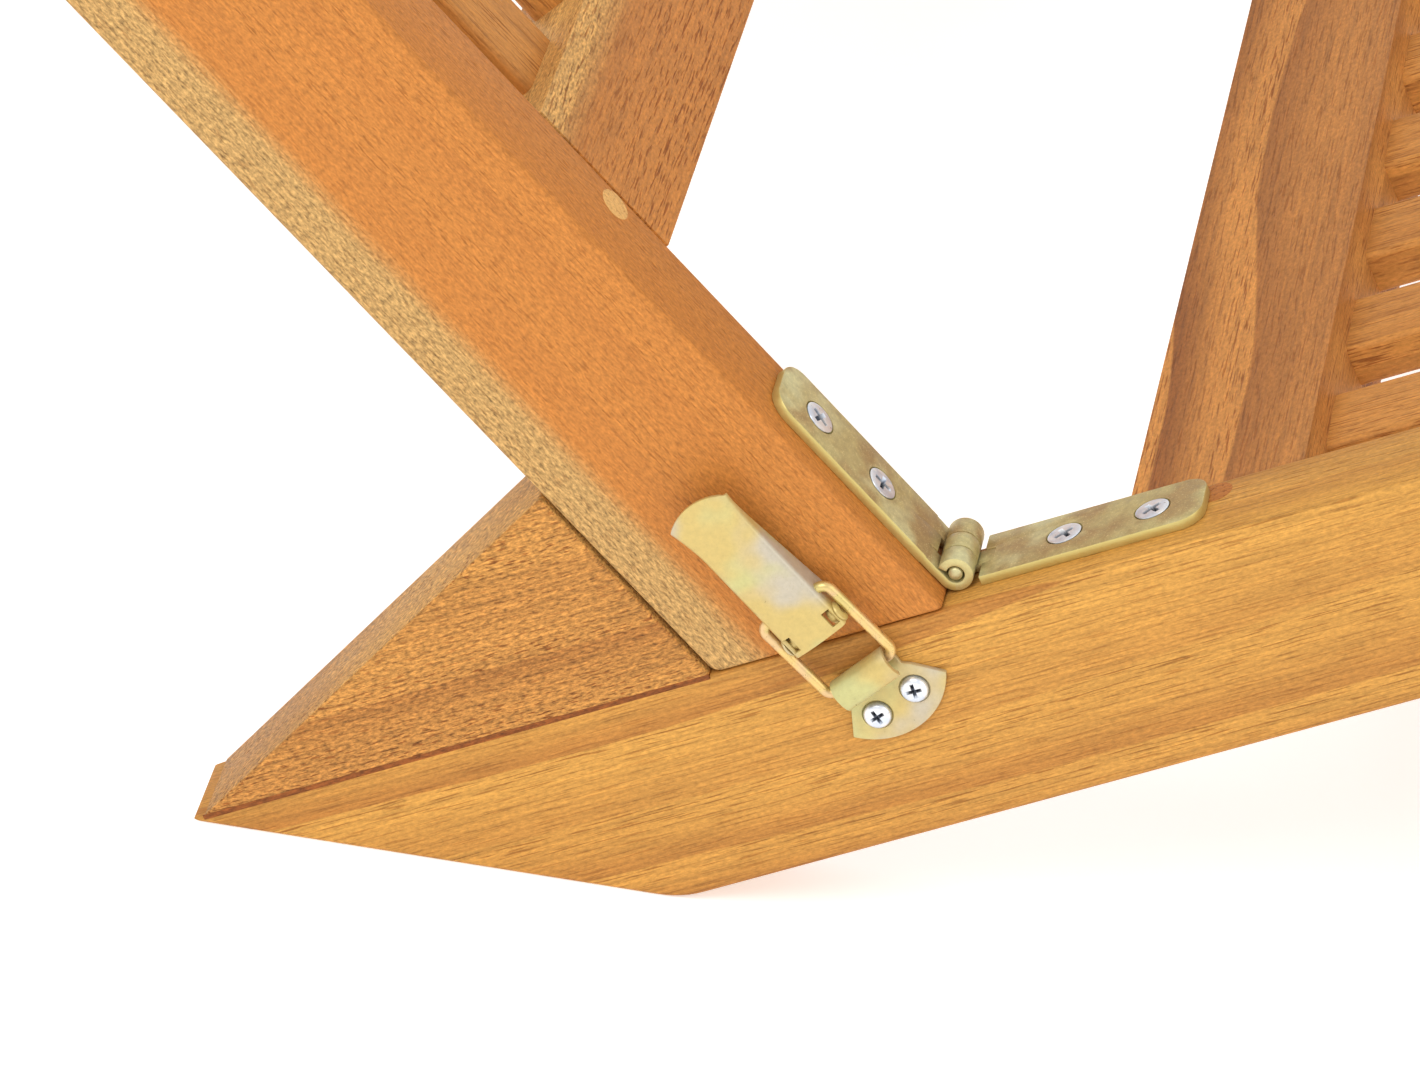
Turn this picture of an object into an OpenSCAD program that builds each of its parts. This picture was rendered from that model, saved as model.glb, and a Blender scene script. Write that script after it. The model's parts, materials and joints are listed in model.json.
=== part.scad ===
/* [Chair] */
// Width over the outer faces of the two side boards
chair_w = 550; // [460:1:640]
// Length of a side rail along its top edge
rail_len = 640; // [580:1:800]
// Length of a back stile from the hinge corner to its top
stile_len = 720; // [560:1:880]
// Slope of the seat above the floor, degrees
seat_slope = 27.4; // [25:0.1:31]
// Slope of the backrest above the floor, degrees
back_slope = 42.6; // [38:0.1:48]

/* [Boards] */
// Width of a rail or a stile, seen from the side
board_w = 50; // [44:1:62]
// Thickness of every board of the frame
board_t = 25; // [22:0.5:30]
// Width of the cross rails that hold the slats
cross_w = 40; // [34:1:50]
// Hinge corner to the rear edge of the rear seat cross rail
seat_cross_at = 38; // [32:1:60]
// Hinge corner to the lower edge of the bottom back cross rail
back_cross_at = 93.5; // [80:0.5:120]
// Front or top cross rail back from the end of its frame
cross_end_inset = 6; // [3:1:20]
// Depth of a tenon in its mortise
tenon_len = 18; // [12:1:20]
// Thickness of a tenon
tenon_t = 12; // [8:1:14]
// Diameter of the dowels that pin the tenons
dowel_d = 8; // [6:0.5:10]

/* [Slats] */
// Number of slats in the seat, and in the back
slat_count = 11; // [7:1:11]
// Width of a slat
slat_w = 24; // [18:1:30]
// Thickness of a slat
slat_t = 10; // [8:0.5:14]
// Depth that a slat end goes into its cross rail
slat_socket = 8; // [5:1:12]

/* [Heel wedge] */
// Angle between the top edge of the rail and the rear face of the wedge
wedge_angle = 26.5; // [22:0.5:30]
// Blunt end of the wedge short of the tip of the rail
wedge_setback = 3; // [1:0.5:8]
// Open gap between the wedge and the stile
wedge_gap = 0.9; // [0.6:0.1:3]

/* [Front legs] */
// Width of a front leg, seen from the side
leg_w = 36; // [30:1:40]
// Thickness of a front leg
leg_t = 22; // [18:1:26]
// Forward lean of the front legs, degrees
leg_lean = 8; // [4:1:12]
// Centre of the crossbar of the legs above the floor
crossbar_at = 60; // [45:1:90]
// Diameter of the leg bolts
bolt_d = 8; // [6:0.5:10]
// Thickness of a washer
washer_t = 1.5; // [1:0.1:2.5]

/* [Hinge] */
// Length of a hinge leaf from the pin
leaf_len = 55; // [50:1:75]
// Width of a hinge leaf
leaf_w = 18; // [15:0.5:20]
// Thickness of a hinge leaf
leaf_t = 2.5; // [2:0.1:3]
// Outside diameter of the hinge barrel
barrel_d = 7.8; // [6.5:0.1:9]
// Diameter of the hinge pin
hinge_pin_d = 3; // [2.5:0.1:4]
// Pin to the first and the second screw
hinge_screw_at = 23; // [18:0.5:28]
// Distance between the two screws of a leaf
hinge_screw_pitch = 20; // [16:0.5:22]

/* [Latch] */
// Centre line of the latch behind the front edge of the stile
latch_r = 22.5; // [20:0.5:27]
// Hinge corner to the pivot of the lever, along the stile
lever_pivot_at = 15.5; // [14:0.5:18]
// Pivot of the lever to the pivot of the bail
lever_throw = 7; // [6.5:0.5:8]
// Pivot of the lever to the tip of its thumb tab
lever_reach = 39; // [34:1:50]
// Width of the lever
lever_w = 15.4; // [14:0.2:17]
// Height of the lever pivot above the board
pivot_h = 5; // [4.6:0.1:6]
// Thickness of the pressed sheet of the latch
sheet_t = 1.2; // [1:0.1:1.5]
// Diameter of the bail wire
wire_d = 2.4; // [2:0.1:2.8]
// Radius of the fan of the catch plate
fan_r = 16.9; // [15:0.1:20]
// Distance between the two screws of the catch plate
catch_screw_pitch = 10.6; // [9:0.1:13]

/* [Hidden] */
SLATS = [for (i = [1 : slat_count]) i];

// fineness of round bores and pins, and of small wire corners
$fn = 48;

// clearances
foot_gap = 0.3;          // foot of a stile above the rail
pin_clear = 0.05;        // radial, a pin in the hole that turns on it
knuckle_gap = 0.2;       // between knuckles of the hinge
barrel_clear = 0.3;      // barrel above both board faces
wire_clear = 0.1;        // radial, the bail wire in the lever
leg_stop_gap = 0.3;      // square corner of a leg under the front cross rail
slat_leg_gap = 1.5;      // rounded top of a leg under the slats
leg_rail_gap = 0.8;      // round of a leg behind the front cross rail
bar_side_play = 1.05;    // bail bar to the plate and to the tongue of the catch

// side view: the interior angle of the corner, and the corner itself
corner_angle = 180 - seat_slope - back_slope;
stile_foot = board_w / sin(corner_angle);
wedge_base = 125;        // rail behind the foot of the stile
corner_at = wedge_base + stile_foot;
seat_len = rail_len - corner_at;
rear_reach = stile_len * cos(back_slope) + board_w * sin(back_slope)
             - corner_at * cos(seat_slope);
front_reach = rail_len * cos(seat_slope) + board_w * sin(seat_slope);
tip_y = (front_reach - rear_reach) / 2;
corner_y = tip_y - corner_at * cos(seat_slope);
corner_z = corner_at * sin(seat_slope);

// across the chair
half_w = chair_w / 2;
inner_half = half_w - board_t;
slat_gap = (2 * inner_half - slat_count * slat_w) / (slat_count + 1);
function slat_x(i) = -inner_half + i * slat_gap + (i - 0.5) * slat_w;
slat_drop = (board_t - slat_t) / 2;
cross_drop = 1;          // top of a seat cross rail below the top of the side rails
tenon_shoulder = 6;
tenon_w = cross_w - 2 * tenon_shoulder;

// dowels: centre from the outer face, and length
dowel_in = board_t - 5;
dowel_len = 34;
back_dowel_at = back_cross_at + 15.5;
seat_dowel_at = seat_cross_at + cross_w / 2 + 1;
front_cross_at = seat_len - cross_end_inset - cross_w;
top_cross_at = stile_len - cross_end_inset - cross_w;

// front legs
leg_angle = 90 + leg_lean - seat_slope;
pivot_n = -slat_drop - cross_drop - slat_t - slat_leg_gap - leg_w / 2;
// the land on top of a leg that stops under the front cross rail, above its pivot
land_h = -pivot_n - cross_drop - board_t - leg_stop_gap;
land_m = sqrt(leg_w * leg_w / 4 - land_h * land_h);
land_front = (land_h + leg_w / 2 * cos(leg_angle)) / sin(leg_angle);
pivot_m = front_cross_at - land_m - leg_rail_gap;
pivot_z = corner_z + pivot_m * sin(seat_slope) + pivot_n * cos(seat_slope);
pivot_y = corner_y - pivot_m * cos(seat_slope) + pivot_n * sin(seat_slope);
leg_len = pivot_z / cos(leg_lean);
leg_outer = inner_half - washer_t;
leg_inner = leg_outer - leg_t;
bolt_head_h = 4;
bolt_end = 1.5;          // thread that stands out of the nut
nut_h = 6.5;
nut_d = bolt_d * 1.75;
washer_d = bolt_d * 2.4;
crossbar_w = leg_w - 4;
crossbar_t = 20;
crossbar_drop = leg_len - crossbar_at / cos(leg_lean);
crossbar_shoulder = 4;
leg_dowel_d = dowel_d - 2;
leg_dowel_in = 6;        // centre from the inner face of the leg
leg_dowel_short = 8;     // end short of the rear face of the leg

// hinge
axis_h = barrel_d / 2 + barrel_clear;
axis_m = axis_h / tan(corner_angle / 2);
knuckle_w = leaf_w / 3;
screw_d = 3.5;
screw_head_d = 8;
screw_head_h = 2.2;
hinge_screw_len = 24;
leaf_end_r = 5;

// latch: heights above the outer face are d, places along the stile are s
lever_top = pivot_h + 2.6;
lever_inner = lever_w / 2 - sheet_t;
ear_gap = 1.3;
ear_outer = lever_inner - ear_gap;
ear_r = 2.4;
rivet_d = 3;
base_at = lever_pivot_at + 3;            // lower end of the base plate
base_len = 25.5;
base_screws_at = [base_at + 11.5, base_at + 19.5];
bail_pivot_s = lever_pivot_at + lever_throw;
bail_pivot_d = pivot_h + 0.2;
bail_half = lever_w / 2 + wire_d / 2 + 0.3;
hook_r = wire_d / 2 + bar_side_play;
bar_s = 0.5;
bar_d = sheet_t + hook_r;
hook_s = bar_s - (bar_side_play - 0.1);
tongue_len = 1.8;
tongue_side_gap = 0.7;
tongue_half = bail_half - wire_d / 2 - tongue_side_gap;
bar_bend = wire_d * 0.92;   // radius of the bends at the bar, to the wire's centre
eye_bend = wire_d * 0.6;    // and at the eyes
fan_half_angle = 52;
fan_neck = 3.5;             // hook to the shoulders of the fan
fan_shoulder = 1;           // shoulders wider than the tongue, each side
lever_foot = lever_pivot_at - 2.5;
lever_tip = lever_pivot_at + lever_reach;
tab_at = lever_tip - 9;     // where the side walls end and the thumb tab starts
tab_flare = 1;
tab_r = 14;
lever_wall_d = 2;           // walls of the lever above the board
eye_gap = 0.4;              // end of the wire from the ear of the base
catch_screw_s = -9.75;
small_screw_d = 3;
small_head_d = 6;
base_head_d = 5.4;
base_screw_len = 12;
catch_screw_len = 16;
pan_head_h = 1.4;

module seat_place() translate([0, corner_y, corner_z]) rotate([-seat_slope, 0, 0]) children();
module back_place() translate([0, corner_y, corner_z]) rotate([back_slope, 0, 0]) children();
module leg_place() translate([0, pivot_y, pivot_z]) rotate([-leg_lean, 0, 0]) children();
// everything is drawn for the left side, and mirrored for the right
module sided(side) mirror([side == "right" ? 1 : 0, 0, 0]) children();
module both_sides() for (side = ["right", "left"]) sided(side) children();
// a side outline in (along, up), extruded across the chair from x0
module side_plate(x0, t) translate([x0, 0, 0]) rotate([90, 0, 90]) linear_extrude(t) children();
module x_cylinder(d, x0, len) translate([x0, 0, 0]) rotate([0, 90, 0]) cylinder(d = d, h = len);
// the latch frame: X out of the board, Y up the stile, Z towards the front
module latch_place() back_place() translate([half_w, 0, -latch_r]) children();

module tenon_at(along, drop) {
    translate([inner_half, along + (cross_w - tenon_w) / 2, -drop - (board_t + tenon_t) / 2])
        cube([tenon_len, tenon_w, tenon_t]);
}

module dowel_hole(along) {
    translate([half_w - dowel_in, along, -dowel_len]) cylinder(d = dowel_d, h = dowel_len + 1);
}

module dowel(along) {
    translate([half_w - dowel_in, along, -dowel_len]) cylinder(d = dowel_d, h = dowel_len);
}

module leaf_screw_places() {
    for (at = [hinge_screw_at, hinge_screw_at + hinge_screw_pitch])
        translate([inner_half + leaf_w / 2, axis_m + at, 0]) children();
}

// a countersunk screw whose head is flush at height 0
module sunk_screw(shank_d, head_d, head_h, len) {
    translate([0, 0, -head_h]) cylinder(d1 = shank_d, d2 = head_d, h = head_h);
    translate([0, 0, -len]) cylinder(d = shank_d, h = len - head_h);
}

module seat_hinge_screw_holes() {
    mirror([0, 1, 0]) leaf_screw_places()
        sunk_screw(screw_d, screw_d, screw_head_h, hinge_screw_len - leaf_t);
}

module catch_screw_places() {
    for (z = [-1, 1])
        translate([0, catch_screw_s, z * catch_screw_pitch / 2]) rotate([0, 90, 0]) children();
}

module base_screw_places() {
    for (s = base_screws_at) translate([sheet_t, s, 0]) rotate([0, 90, 0]) children();
}

module rail() {
    color("#c98b4a") difference() {
        seat_place() difference() {
            side_plate(inner_half, board_t) polygon([
                [corner_at, 0], [corner_at - board_w / tan(seat_slope), -board_w],
                [-seat_len, -board_w], [-seat_len, 0]]);
            translate([0, -seat_cross_at - cross_w, 0]) tenon_at(0, cross_drop);
            translate([0, -front_cross_at - cross_w, 0]) tenon_at(0, cross_drop);
            dowel_hole(-seat_dowel_at);
            dowel_hole(-front_cross_at - cross_w / 2);
            seat_hinge_screw_holes();
            translate([0, -pivot_m, pivot_n]) x_cylinder(bolt_d, inner_half - 1, board_t + 2);
        }
        latch_place() catch_screw_places()
            translate([0, 0, -catch_screw_len]) cylinder(d = small_screw_d, h = catch_screw_len + 1);
    }
}

module heel_wedge() {
    foot = stile_foot + wedge_gap / sin(corner_angle);
    base = corner_at - wedge_setback - foot;
    side = base * sin(wedge_angle) / sin(corner_angle - wedge_angle);
    color("#b77a3d") seat_place() side_plate(inner_half, board_t) polygon([
        [corner_at - wedge_setback, 0], [foot, 0],
        [foot - side * cos(corner_angle), side * sin(corner_angle)]]);
}

module cross_rail(at, drop, slat_side) {
    half = inner_half;
    difference() {
        union() {
            translate([-half, at, -drop - board_t]) cube([2 * half, cross_w, board_t]);
            for (m = [0, 1]) mirror([m, 0, 0]) tenon_at(at, drop);
        }
        for (i = SLATS)
            translate([slat_x(i) - slat_w / 2,
                       slat_side > 0 ? at + cross_w - slat_socket : at - 1,
                       -drop - slat_drop - slat_t])
                cube([slat_w, slat_socket + 1, slat_t]);
        for (m = [0, 1]) mirror([m, 0, 0]) children();
    }
}

module seat_rear_cross_rail() {
    color("#b9763c") seat_place()
        cross_rail(-seat_cross_at - cross_w, cross_drop, -1) {
            dowel_hole(-seat_dowel_at);
            seat_hinge_screw_holes();
        }
}

module seat_front_cross_rail() {
    color("#b9763c") seat_place() cross_rail(-front_cross_at - cross_w, cross_drop, 1)
        dowel_hole(-front_cross_at - cross_w / 2);
}

module back_bottom_cross_rail() {
    color("#c08244") back_place() cross_rail(back_cross_at, 0, 1) dowel_hole(back_dowel_at);
}

module back_top_cross_rail() {
    color("#c08244") back_place() cross_rail(top_cross_at, 0, -1)
        dowel_hole(top_cross_at + cross_w / 2);
}

module slat(i, from, to, drop) {
    translate([slat_x(i) - slat_w / 2, from, -drop - slat_drop - slat_t])
        cube([slat_w, to - from, slat_t]);
}

module seat_slat(i) {
    color("#cf9352") seat_place() slat(i, -front_cross_at - slat_socket,
        -seat_cross_at - cross_w + slat_socket, cross_drop);
}

module back_slat(i) {
    color("#cf9352") back_place() slat(i, back_cross_at + cross_w - slat_socket,
        top_cross_at + slat_socket, 0);
}

module seat_dowels() {
    color("#a96f3a") seat_place() both_sides() {
        dowel(-seat_dowel_at);
        dowel(-front_cross_at - cross_w / 2);
    }
}

module back_dowels() {
    color("#dcb072") back_place() both_sides() {
        dowel(back_dowel_at);
        dowel(top_cross_at + cross_w / 2);
    }
}

module stile() {
    color("#d0853f") difference() {
        back_place() difference() {
            side_plate(inner_half, board_t) polygon([
                [foot_gap / sin(corner_angle), 0], [stile_len, 0], [stile_len, -board_w],
                [foot_gap / sin(corner_angle) - board_w / tan(corner_angle), -board_w]]);
            tenon_at(back_cross_at, 0);
            tenon_at(top_cross_at, 0);
            dowel_hole(back_dowel_at);
            dowel_hole(top_cross_at + cross_w / 2);
            leaf_screw_places()
                sunk_screw(screw_d, screw_d, screw_head_h, hinge_screw_len - leaf_t);
        }
        latch_place() base_screw_places()
            translate([0, 0, -base_screw_len]) cylinder(d = small_screw_d, h = base_screw_len);
    }
}

// one leaf, lying on the face at height 0 with its pin along X; own: which thirds it curls
module hinge_leaf(own) {
    x0 = inner_half;
    difference() {
        union() {
            difference() {
                translate([x0, axis_m, 0]) cube([leaf_w, leaf_len - leaf_end_r, leaf_t]);
                for (k = [0 : 2]) if (len(search(k, own)) == 0)
                    translate([x0 + k * knuckle_w - knuckle_gap, axis_m - 1, -1])
                        cube([knuckle_w + 2 * knuckle_gap, barrel_d / 2 + 2, leaf_t + 2]);
            }
            translate([x0, axis_m, 0]) linear_extrude(leaf_t) polygon([
                [0, leaf_len - leaf_end_r - 1], [leaf_w, leaf_len - leaf_end_r - 1],
                [leaf_w, leaf_len - leaf_end_r], [leaf_w - leaf_end_r, leaf_len],
                [leaf_end_r, leaf_len], [0, leaf_len - leaf_end_r]]);
            for (k = own) translate([0, axis_m, axis_h])
                x_cylinder(barrel_d, x0 + k * knuckle_w + knuckle_gap / 2, knuckle_w - knuckle_gap);
        }
        translate([0, axis_m, axis_h])
            x_cylinder(hinge_pin_d + 2 * pin_clear, x0 - 1, leaf_w + 2);
        leaf_screw_places() translate([0, 0, leaf_t])
            sunk_screw(screw_d, screw_head_d, screw_head_h, leaf_t + 1);
    }
}

module hinge_leaf_seat() {
    color("#a9a05e") seat_place() mirror([0, 1, 0]) hinge_leaf([1]);
}

module hinge_leaf_back() {
    color("#a9a05e") back_place() hinge_leaf([0, 2]);
}

module hinge_pins() {
    color("#8f8750") seat_place() both_sides() translate([0, -axis_m, axis_h])
        x_cylinder(hinge_pin_d, inner_half, leaf_w);
}

module leaf_screws() {
    leaf_screw_places() translate([0, 0, leaf_t])
        sunk_screw(screw_d, screw_head_d, screw_head_h, hinge_screw_len);
}

module hinge_screws_seat() {
    color("silver") seat_place() both_sides() mirror([0, 1, 0]) leaf_screws();
}

module hinge_screws_back() {
    color("silver") back_place() both_sides() leaf_screws();
}

module catch_plate() {
    color("#d8cf9a") latch_place() difference() {
        union() {
            // the fan, a sector of a circle about the hook
            rotate([90, 0, 90]) linear_extrude(sheet_t) intersection() {
                translate([hook_s, 0]) circle(r = fan_r, $fn = 96);
                polygon([[hook_s, -tongue_half],
                    [hook_s - fan_neck, -tongue_half - fan_shoulder],
                    [hook_s - 2 * fan_r * cos(fan_half_angle), -2 * fan_r * sin(fan_half_angle)],
                    [hook_s - 2 * fan_r, 0],
                    [hook_s - 2 * fan_r * cos(fan_half_angle), 2 * fan_r * sin(fan_half_angle)],
                    [hook_s - fan_neck, tongue_half + fan_shoulder],
                    [hook_s, tongue_half]]);
            }
            // the tongue, bent back over the bar
            translate([0, 0, -tongue_half]) linear_extrude(2 * tongue_half) {
                translate([bar_d, hook_s]) difference() {
                    circle(r = hook_r + sheet_t);
                    circle(r = hook_r);
                    translate([-50, -100]) square(100);
                }
                translate([bar_d + hook_r, hook_s - tongue_len]) square([sheet_t, tongue_len]);
            }
        }
        catch_screw_places() translate([0, 0, -1]) cylinder(d = small_screw_d, h = sheet_t + 2);
    }
}

module catch_screws() {
    color("silver") both_sides() latch_place() catch_screw_places() {
        translate([0, 0, -catch_screw_len + 1])
            cylinder(d = small_screw_d, h = catch_screw_len - 1 + sheet_t);
        translate([0, 0, sheet_t])
            cylinder(d1 = small_head_d, d2 = small_head_d * 0.6, h = pan_head_h);
    }
}

module latch_base() {
    color("#d8cf9a") latch_place() difference() {
        union() {
            translate([0, base_at, -ear_outer]) cube([sheet_t, base_len, 2 * ear_outer]);
            for (z = [-ear_outer, ear_outer - sheet_t]) translate([0, 0, z]) {
                translate([pivot_h, lever_pivot_at, 0]) cylinder(r = ear_r, h = sheet_t);
                translate([0, lever_pivot_at - ear_r, 0])
                    cube([pivot_h, 2 * ear_r + 4, sheet_t]);
            }
        }
        translate([pivot_h, lever_pivot_at, -20]) cylinder(d = rivet_d, h = 40);
        base_screw_places() sunk_screw(small_screw_d, base_head_d, sheet_t, sheet_t + 1);
    }
}

module latch_base_screws() {
    color("silver") both_sides() latch_place() base_screw_places()
        sunk_screw(small_screw_d, base_head_d, sheet_t, base_screw_len);
}

module latch_rivets() {
    color("#cfc58e") both_sides() latch_place()
        translate([pivot_h, lever_pivot_at, -lever_w / 2]) cylinder(d = rivet_d, h = lever_w);
}

module latch_lever() {
    color("#ddd49e") latch_place() difference() {
        union() {
            // face of the lever, flared to the thumb tab with its round end
            translate([lever_top, 0, 0]) rotate([90, 0, 90]) linear_extrude(sheet_t) {
                intersection() {
                    polygon([[lever_foot, -lever_w / 2], [tab_at, -lever_w / 2],
                        [lever_tip, -lever_w / 2 - tab_flare],
                        [lever_tip, lever_w / 2 + tab_flare],
                        [tab_at, lever_w / 2], [lever_foot, lever_w / 2]]);
                    union() {
                        translate([lever_tip - tab_r, 0]) circle(r = tab_r, $fn = 96);
                        translate([lever_foot, -lever_w])
                            square([tab_at + 2 - lever_foot, 2 * lever_w]);
                    }
                }
            }
            // side walls
            for (z = [-lever_w / 2, lever_inner]) translate([lever_wall_d, lever_foot, z])
                cube([lever_top - lever_wall_d, tab_at - lever_foot, sheet_t]);
        }
        translate([pivot_h, lever_pivot_at, -20])
            cylinder(d = rivet_d + 2 * pin_clear, h = 40);
        translate([bail_pivot_d, bail_pivot_s, -20])
            cylinder(d = wire_d + 2 * wire_clear, h = 40);
    }
}

// a quarter bend of the wire about a centre in the plane of the loop
module wire_bend(x, y, r, from) {
    translate([x, y, 0]) rotate([0, 0, from]) rotate_extrude(angle = 90)
        translate([r, 0]) circle(d = wire_d);
}

// the loop is drawn flat, X across and Y up its arms, and turned into place
module latch_bail() {
    run = bail_pivot_s - bar_s;
    rise = bail_pivot_d - bar_d;
    arm = sqrt(run * run + rise * rise);
    eye = ear_outer + eye_gap;
    straight = bail_half - bar_bend;
    color("#d9c98c") latch_place() translate([bar_d, bar_s, 0])
        rotate([0, 0, -atan2(rise, run)]) rotate([0, -90, 0]) {
            x_cylinder(wire_d, -straight, 2 * straight);
            for (m = [0, 1]) mirror([m, 0, 0]) {
                wire_bend(straight, bar_bend, bar_bend, -90);
                translate([bail_half, bar_bend, 0]) rotate([-90, 0, 0])
                    cylinder(d = wire_d, h = arm - bar_bend - eye_bend);
                wire_bend(bail_half - eye_bend, arm - eye_bend, eye_bend, 0);
                translate([0, arm, 0]) x_cylinder(wire_d, eye, bail_half - eye_bend - eye);
            }
        }
}

// a leg is square in front at the top, where it stops, and round behind
module leg_bar() {
    r = leg_w / 2;
    land = [land_h * cos(leg_angle) - land_m * sin(leg_angle),
            land_m * cos(leg_angle) + land_h * sin(leg_angle)];
    side_plate(leg_inner, leg_t) polygon([[-r, -leg_len - leg_w], [-r, land_front], land,
        [0, 0], [r, 0], [r, -leg_len - leg_w]]);
    intersection() {
        x_cylinder(leg_w, leg_inner, leg_t);
        side_plate(leg_inner, leg_t) polygon([[0, 0], 2 * land, [leg_w, 2 * land[1]], [leg_w, 0]]);
    }
}

module front_leg() {
    color("#c4884a") difference() {
        leg_place() difference() {
            leg_bar();
            x_cylinder(bolt_d + 2 * pin_clear, leg_inner - 1, leg_t + 2);
            crossbar_tenon();
            leg_dowel();
        }
        // cut level at the floor
        translate([0, pivot_y, -leg_len / 2]) cube([2 * chair_w, leg_len, leg_len], center = true);
    }
}

module crossbar_tenon() {
    translate([leg_inner - 1, -tenon_t / 2,
               -crossbar_drop - crossbar_w / 2 + crossbar_shoulder])
        cube([1 + min(tenon_len, leg_t - 6), tenon_t, crossbar_w - 2 * crossbar_shoulder]);
}

module leg_dowel() {
    translate([leg_inner + leg_dowel_in, leg_w / 2, -crossbar_drop]) rotate([90, 0, 0])
        cylinder(d = leg_dowel_d, h = leg_w - leg_dowel_short);
}

module leg_crossbar() {
    color("#bd7f42") leg_place() difference() {
        union() {
            translate([-leg_inner, -crossbar_t / 2, -crossbar_drop - crossbar_w / 2])
                cube([2 * leg_inner, crossbar_t, crossbar_w]);
            for (m = [0, 1]) mirror([m, 0, 0]) crossbar_tenon();
        }
        for (m = [0, 1]) mirror([m, 0, 0]) leg_dowel();
    }
}

module leg_dowels() {
    color("#dcb072") leg_place() both_sides() leg_dowel();
}

module leg_bolts() {
    color("#b9b48c") leg_place() both_sides() {
        x_cylinder(bolt_d, leg_inner - washer_t - nut_h - bolt_end,
            half_w - leg_inner + washer_t + nut_h + bolt_end);
        translate([half_w, 0, 0]) rotate([0, 90, 0])
            cylinder(d1 = bolt_d * 2, d2 = bolt_d * 1.2, h = bolt_head_h);
    }
}

module leg_washers() {
    color("silver") leg_place() both_sides()
        for (x = [leg_outer, leg_inner - washer_t]) difference() {
            x_cylinder(washer_d, x, washer_t);
            x_cylinder(bolt_d, x - 1, washer_t + 2);
        }
}

module leg_nuts() {
    color("silver") leg_place() both_sides()
        translate([leg_inner - washer_t - nut_h, 0, 0]) rotate([0, 90, 0]) difference() {
            cylinder(d = nut_d, h = nut_h, $fn = 6);
            translate([0, 0, -1]) cylinder(d = bolt_d, h = nut_h + 2);
        }
}

sided("right") rail();  // rail_right
sided("left") rail();  // rail_left
sided("right") heel_wedge();  // heel_wedge_right
sided("left") heel_wedge();  // heel_wedge_left
seat_rear_cross_rail();
seat_front_cross_rail();
seat_dowels();
sided("right") hinge_leaf_seat();  // hinge_leaf_seat_right
sided("left") hinge_leaf_seat();  // hinge_leaf_seat_left
hinge_pins();
hinge_screws_seat();
sided("right") catch_plate();  // catch_plate_right
sided("left") catch_plate();  // catch_plate_left
catch_screws();
leg_bolts();
leg_washers();
leg_nuts();
sided("right") stile();  // stile_right
sided("left") stile();  // stile_left
back_bottom_cross_rail();
back_top_cross_rail();
back_dowels();
sided("right") hinge_leaf_back();  // hinge_leaf_back_right
sided("left") hinge_leaf_back();  // hinge_leaf_back_left
hinge_screws_back();
sided("right") latch_base();  // latch_base_right
sided("left") latch_base();  // latch_base_left
latch_base_screws();
latch_rivets();
sided("right") front_leg();  // front_leg_right
sided("left") front_leg();  // front_leg_left
leg_crossbar();
leg_dowels();
sided("right") latch_lever();  // latch_lever_right
sided("left") latch_lever();  // latch_lever_left
sided("right") latch_bail();  // latch_bail_right
sided("left") latch_bail();  // latch_bail_left
for (i = SLATS) seat_slat(i);
for (i = SLATS) back_slat(i);
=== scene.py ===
"""Looks of the folding teak lounge chair: eased boards, slats, strap hinges and toggle latches."""
import json
import math

import bmesh
import bpy
from mathutils import Matrix, Vector


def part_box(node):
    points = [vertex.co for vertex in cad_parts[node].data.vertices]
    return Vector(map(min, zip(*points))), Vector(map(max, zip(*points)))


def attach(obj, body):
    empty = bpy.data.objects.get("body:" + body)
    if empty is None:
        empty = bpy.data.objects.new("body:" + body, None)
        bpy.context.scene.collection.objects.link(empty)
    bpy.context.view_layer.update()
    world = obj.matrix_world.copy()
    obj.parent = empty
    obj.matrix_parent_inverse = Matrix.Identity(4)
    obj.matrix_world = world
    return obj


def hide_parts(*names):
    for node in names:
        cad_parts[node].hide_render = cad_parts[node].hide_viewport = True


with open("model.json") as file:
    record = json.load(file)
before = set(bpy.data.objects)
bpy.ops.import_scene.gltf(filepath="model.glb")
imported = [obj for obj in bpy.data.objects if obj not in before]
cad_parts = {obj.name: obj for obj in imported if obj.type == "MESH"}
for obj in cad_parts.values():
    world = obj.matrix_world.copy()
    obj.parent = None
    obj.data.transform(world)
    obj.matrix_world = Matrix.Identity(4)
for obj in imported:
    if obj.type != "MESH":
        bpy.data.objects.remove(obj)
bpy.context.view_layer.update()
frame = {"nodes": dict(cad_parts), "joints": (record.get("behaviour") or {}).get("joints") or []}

MM = 0.001

# ---------------------------------------------------------------- where things are

SEAT_SLOPE = math.radians(27.4)
BACK_SLOPE = math.radians(42.6)
LEG_LEAN = math.radians(8.0)

joints = {j["name"]: j for j in frame["joints"]}
hinge_pin = Vector(joints["backrest_fold"]["pos_m"]) / MM
leg_bolt = Vector(joints["front_legs_fold"]["pos_m"]) / MM
half_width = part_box("rail_left")[1].x / MM
inner_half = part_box("rail_left")[0].x / MM

# the pin stands this far along and above each board from the corner where the boards meet
PIN_ALONG = 2.94087
PIN_ABOVE = 4.2

seat_turn = Matrix.Rotation(-SEAT_SLOPE, 4, "X")
back_turn = Matrix.Rotation(BACK_SLOPE, 4, "X")
corner = hinge_pin + seat_turn @ Vector((0, PIN_ALONG, -PIN_ABOVE))
corner.x = 0.0

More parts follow.
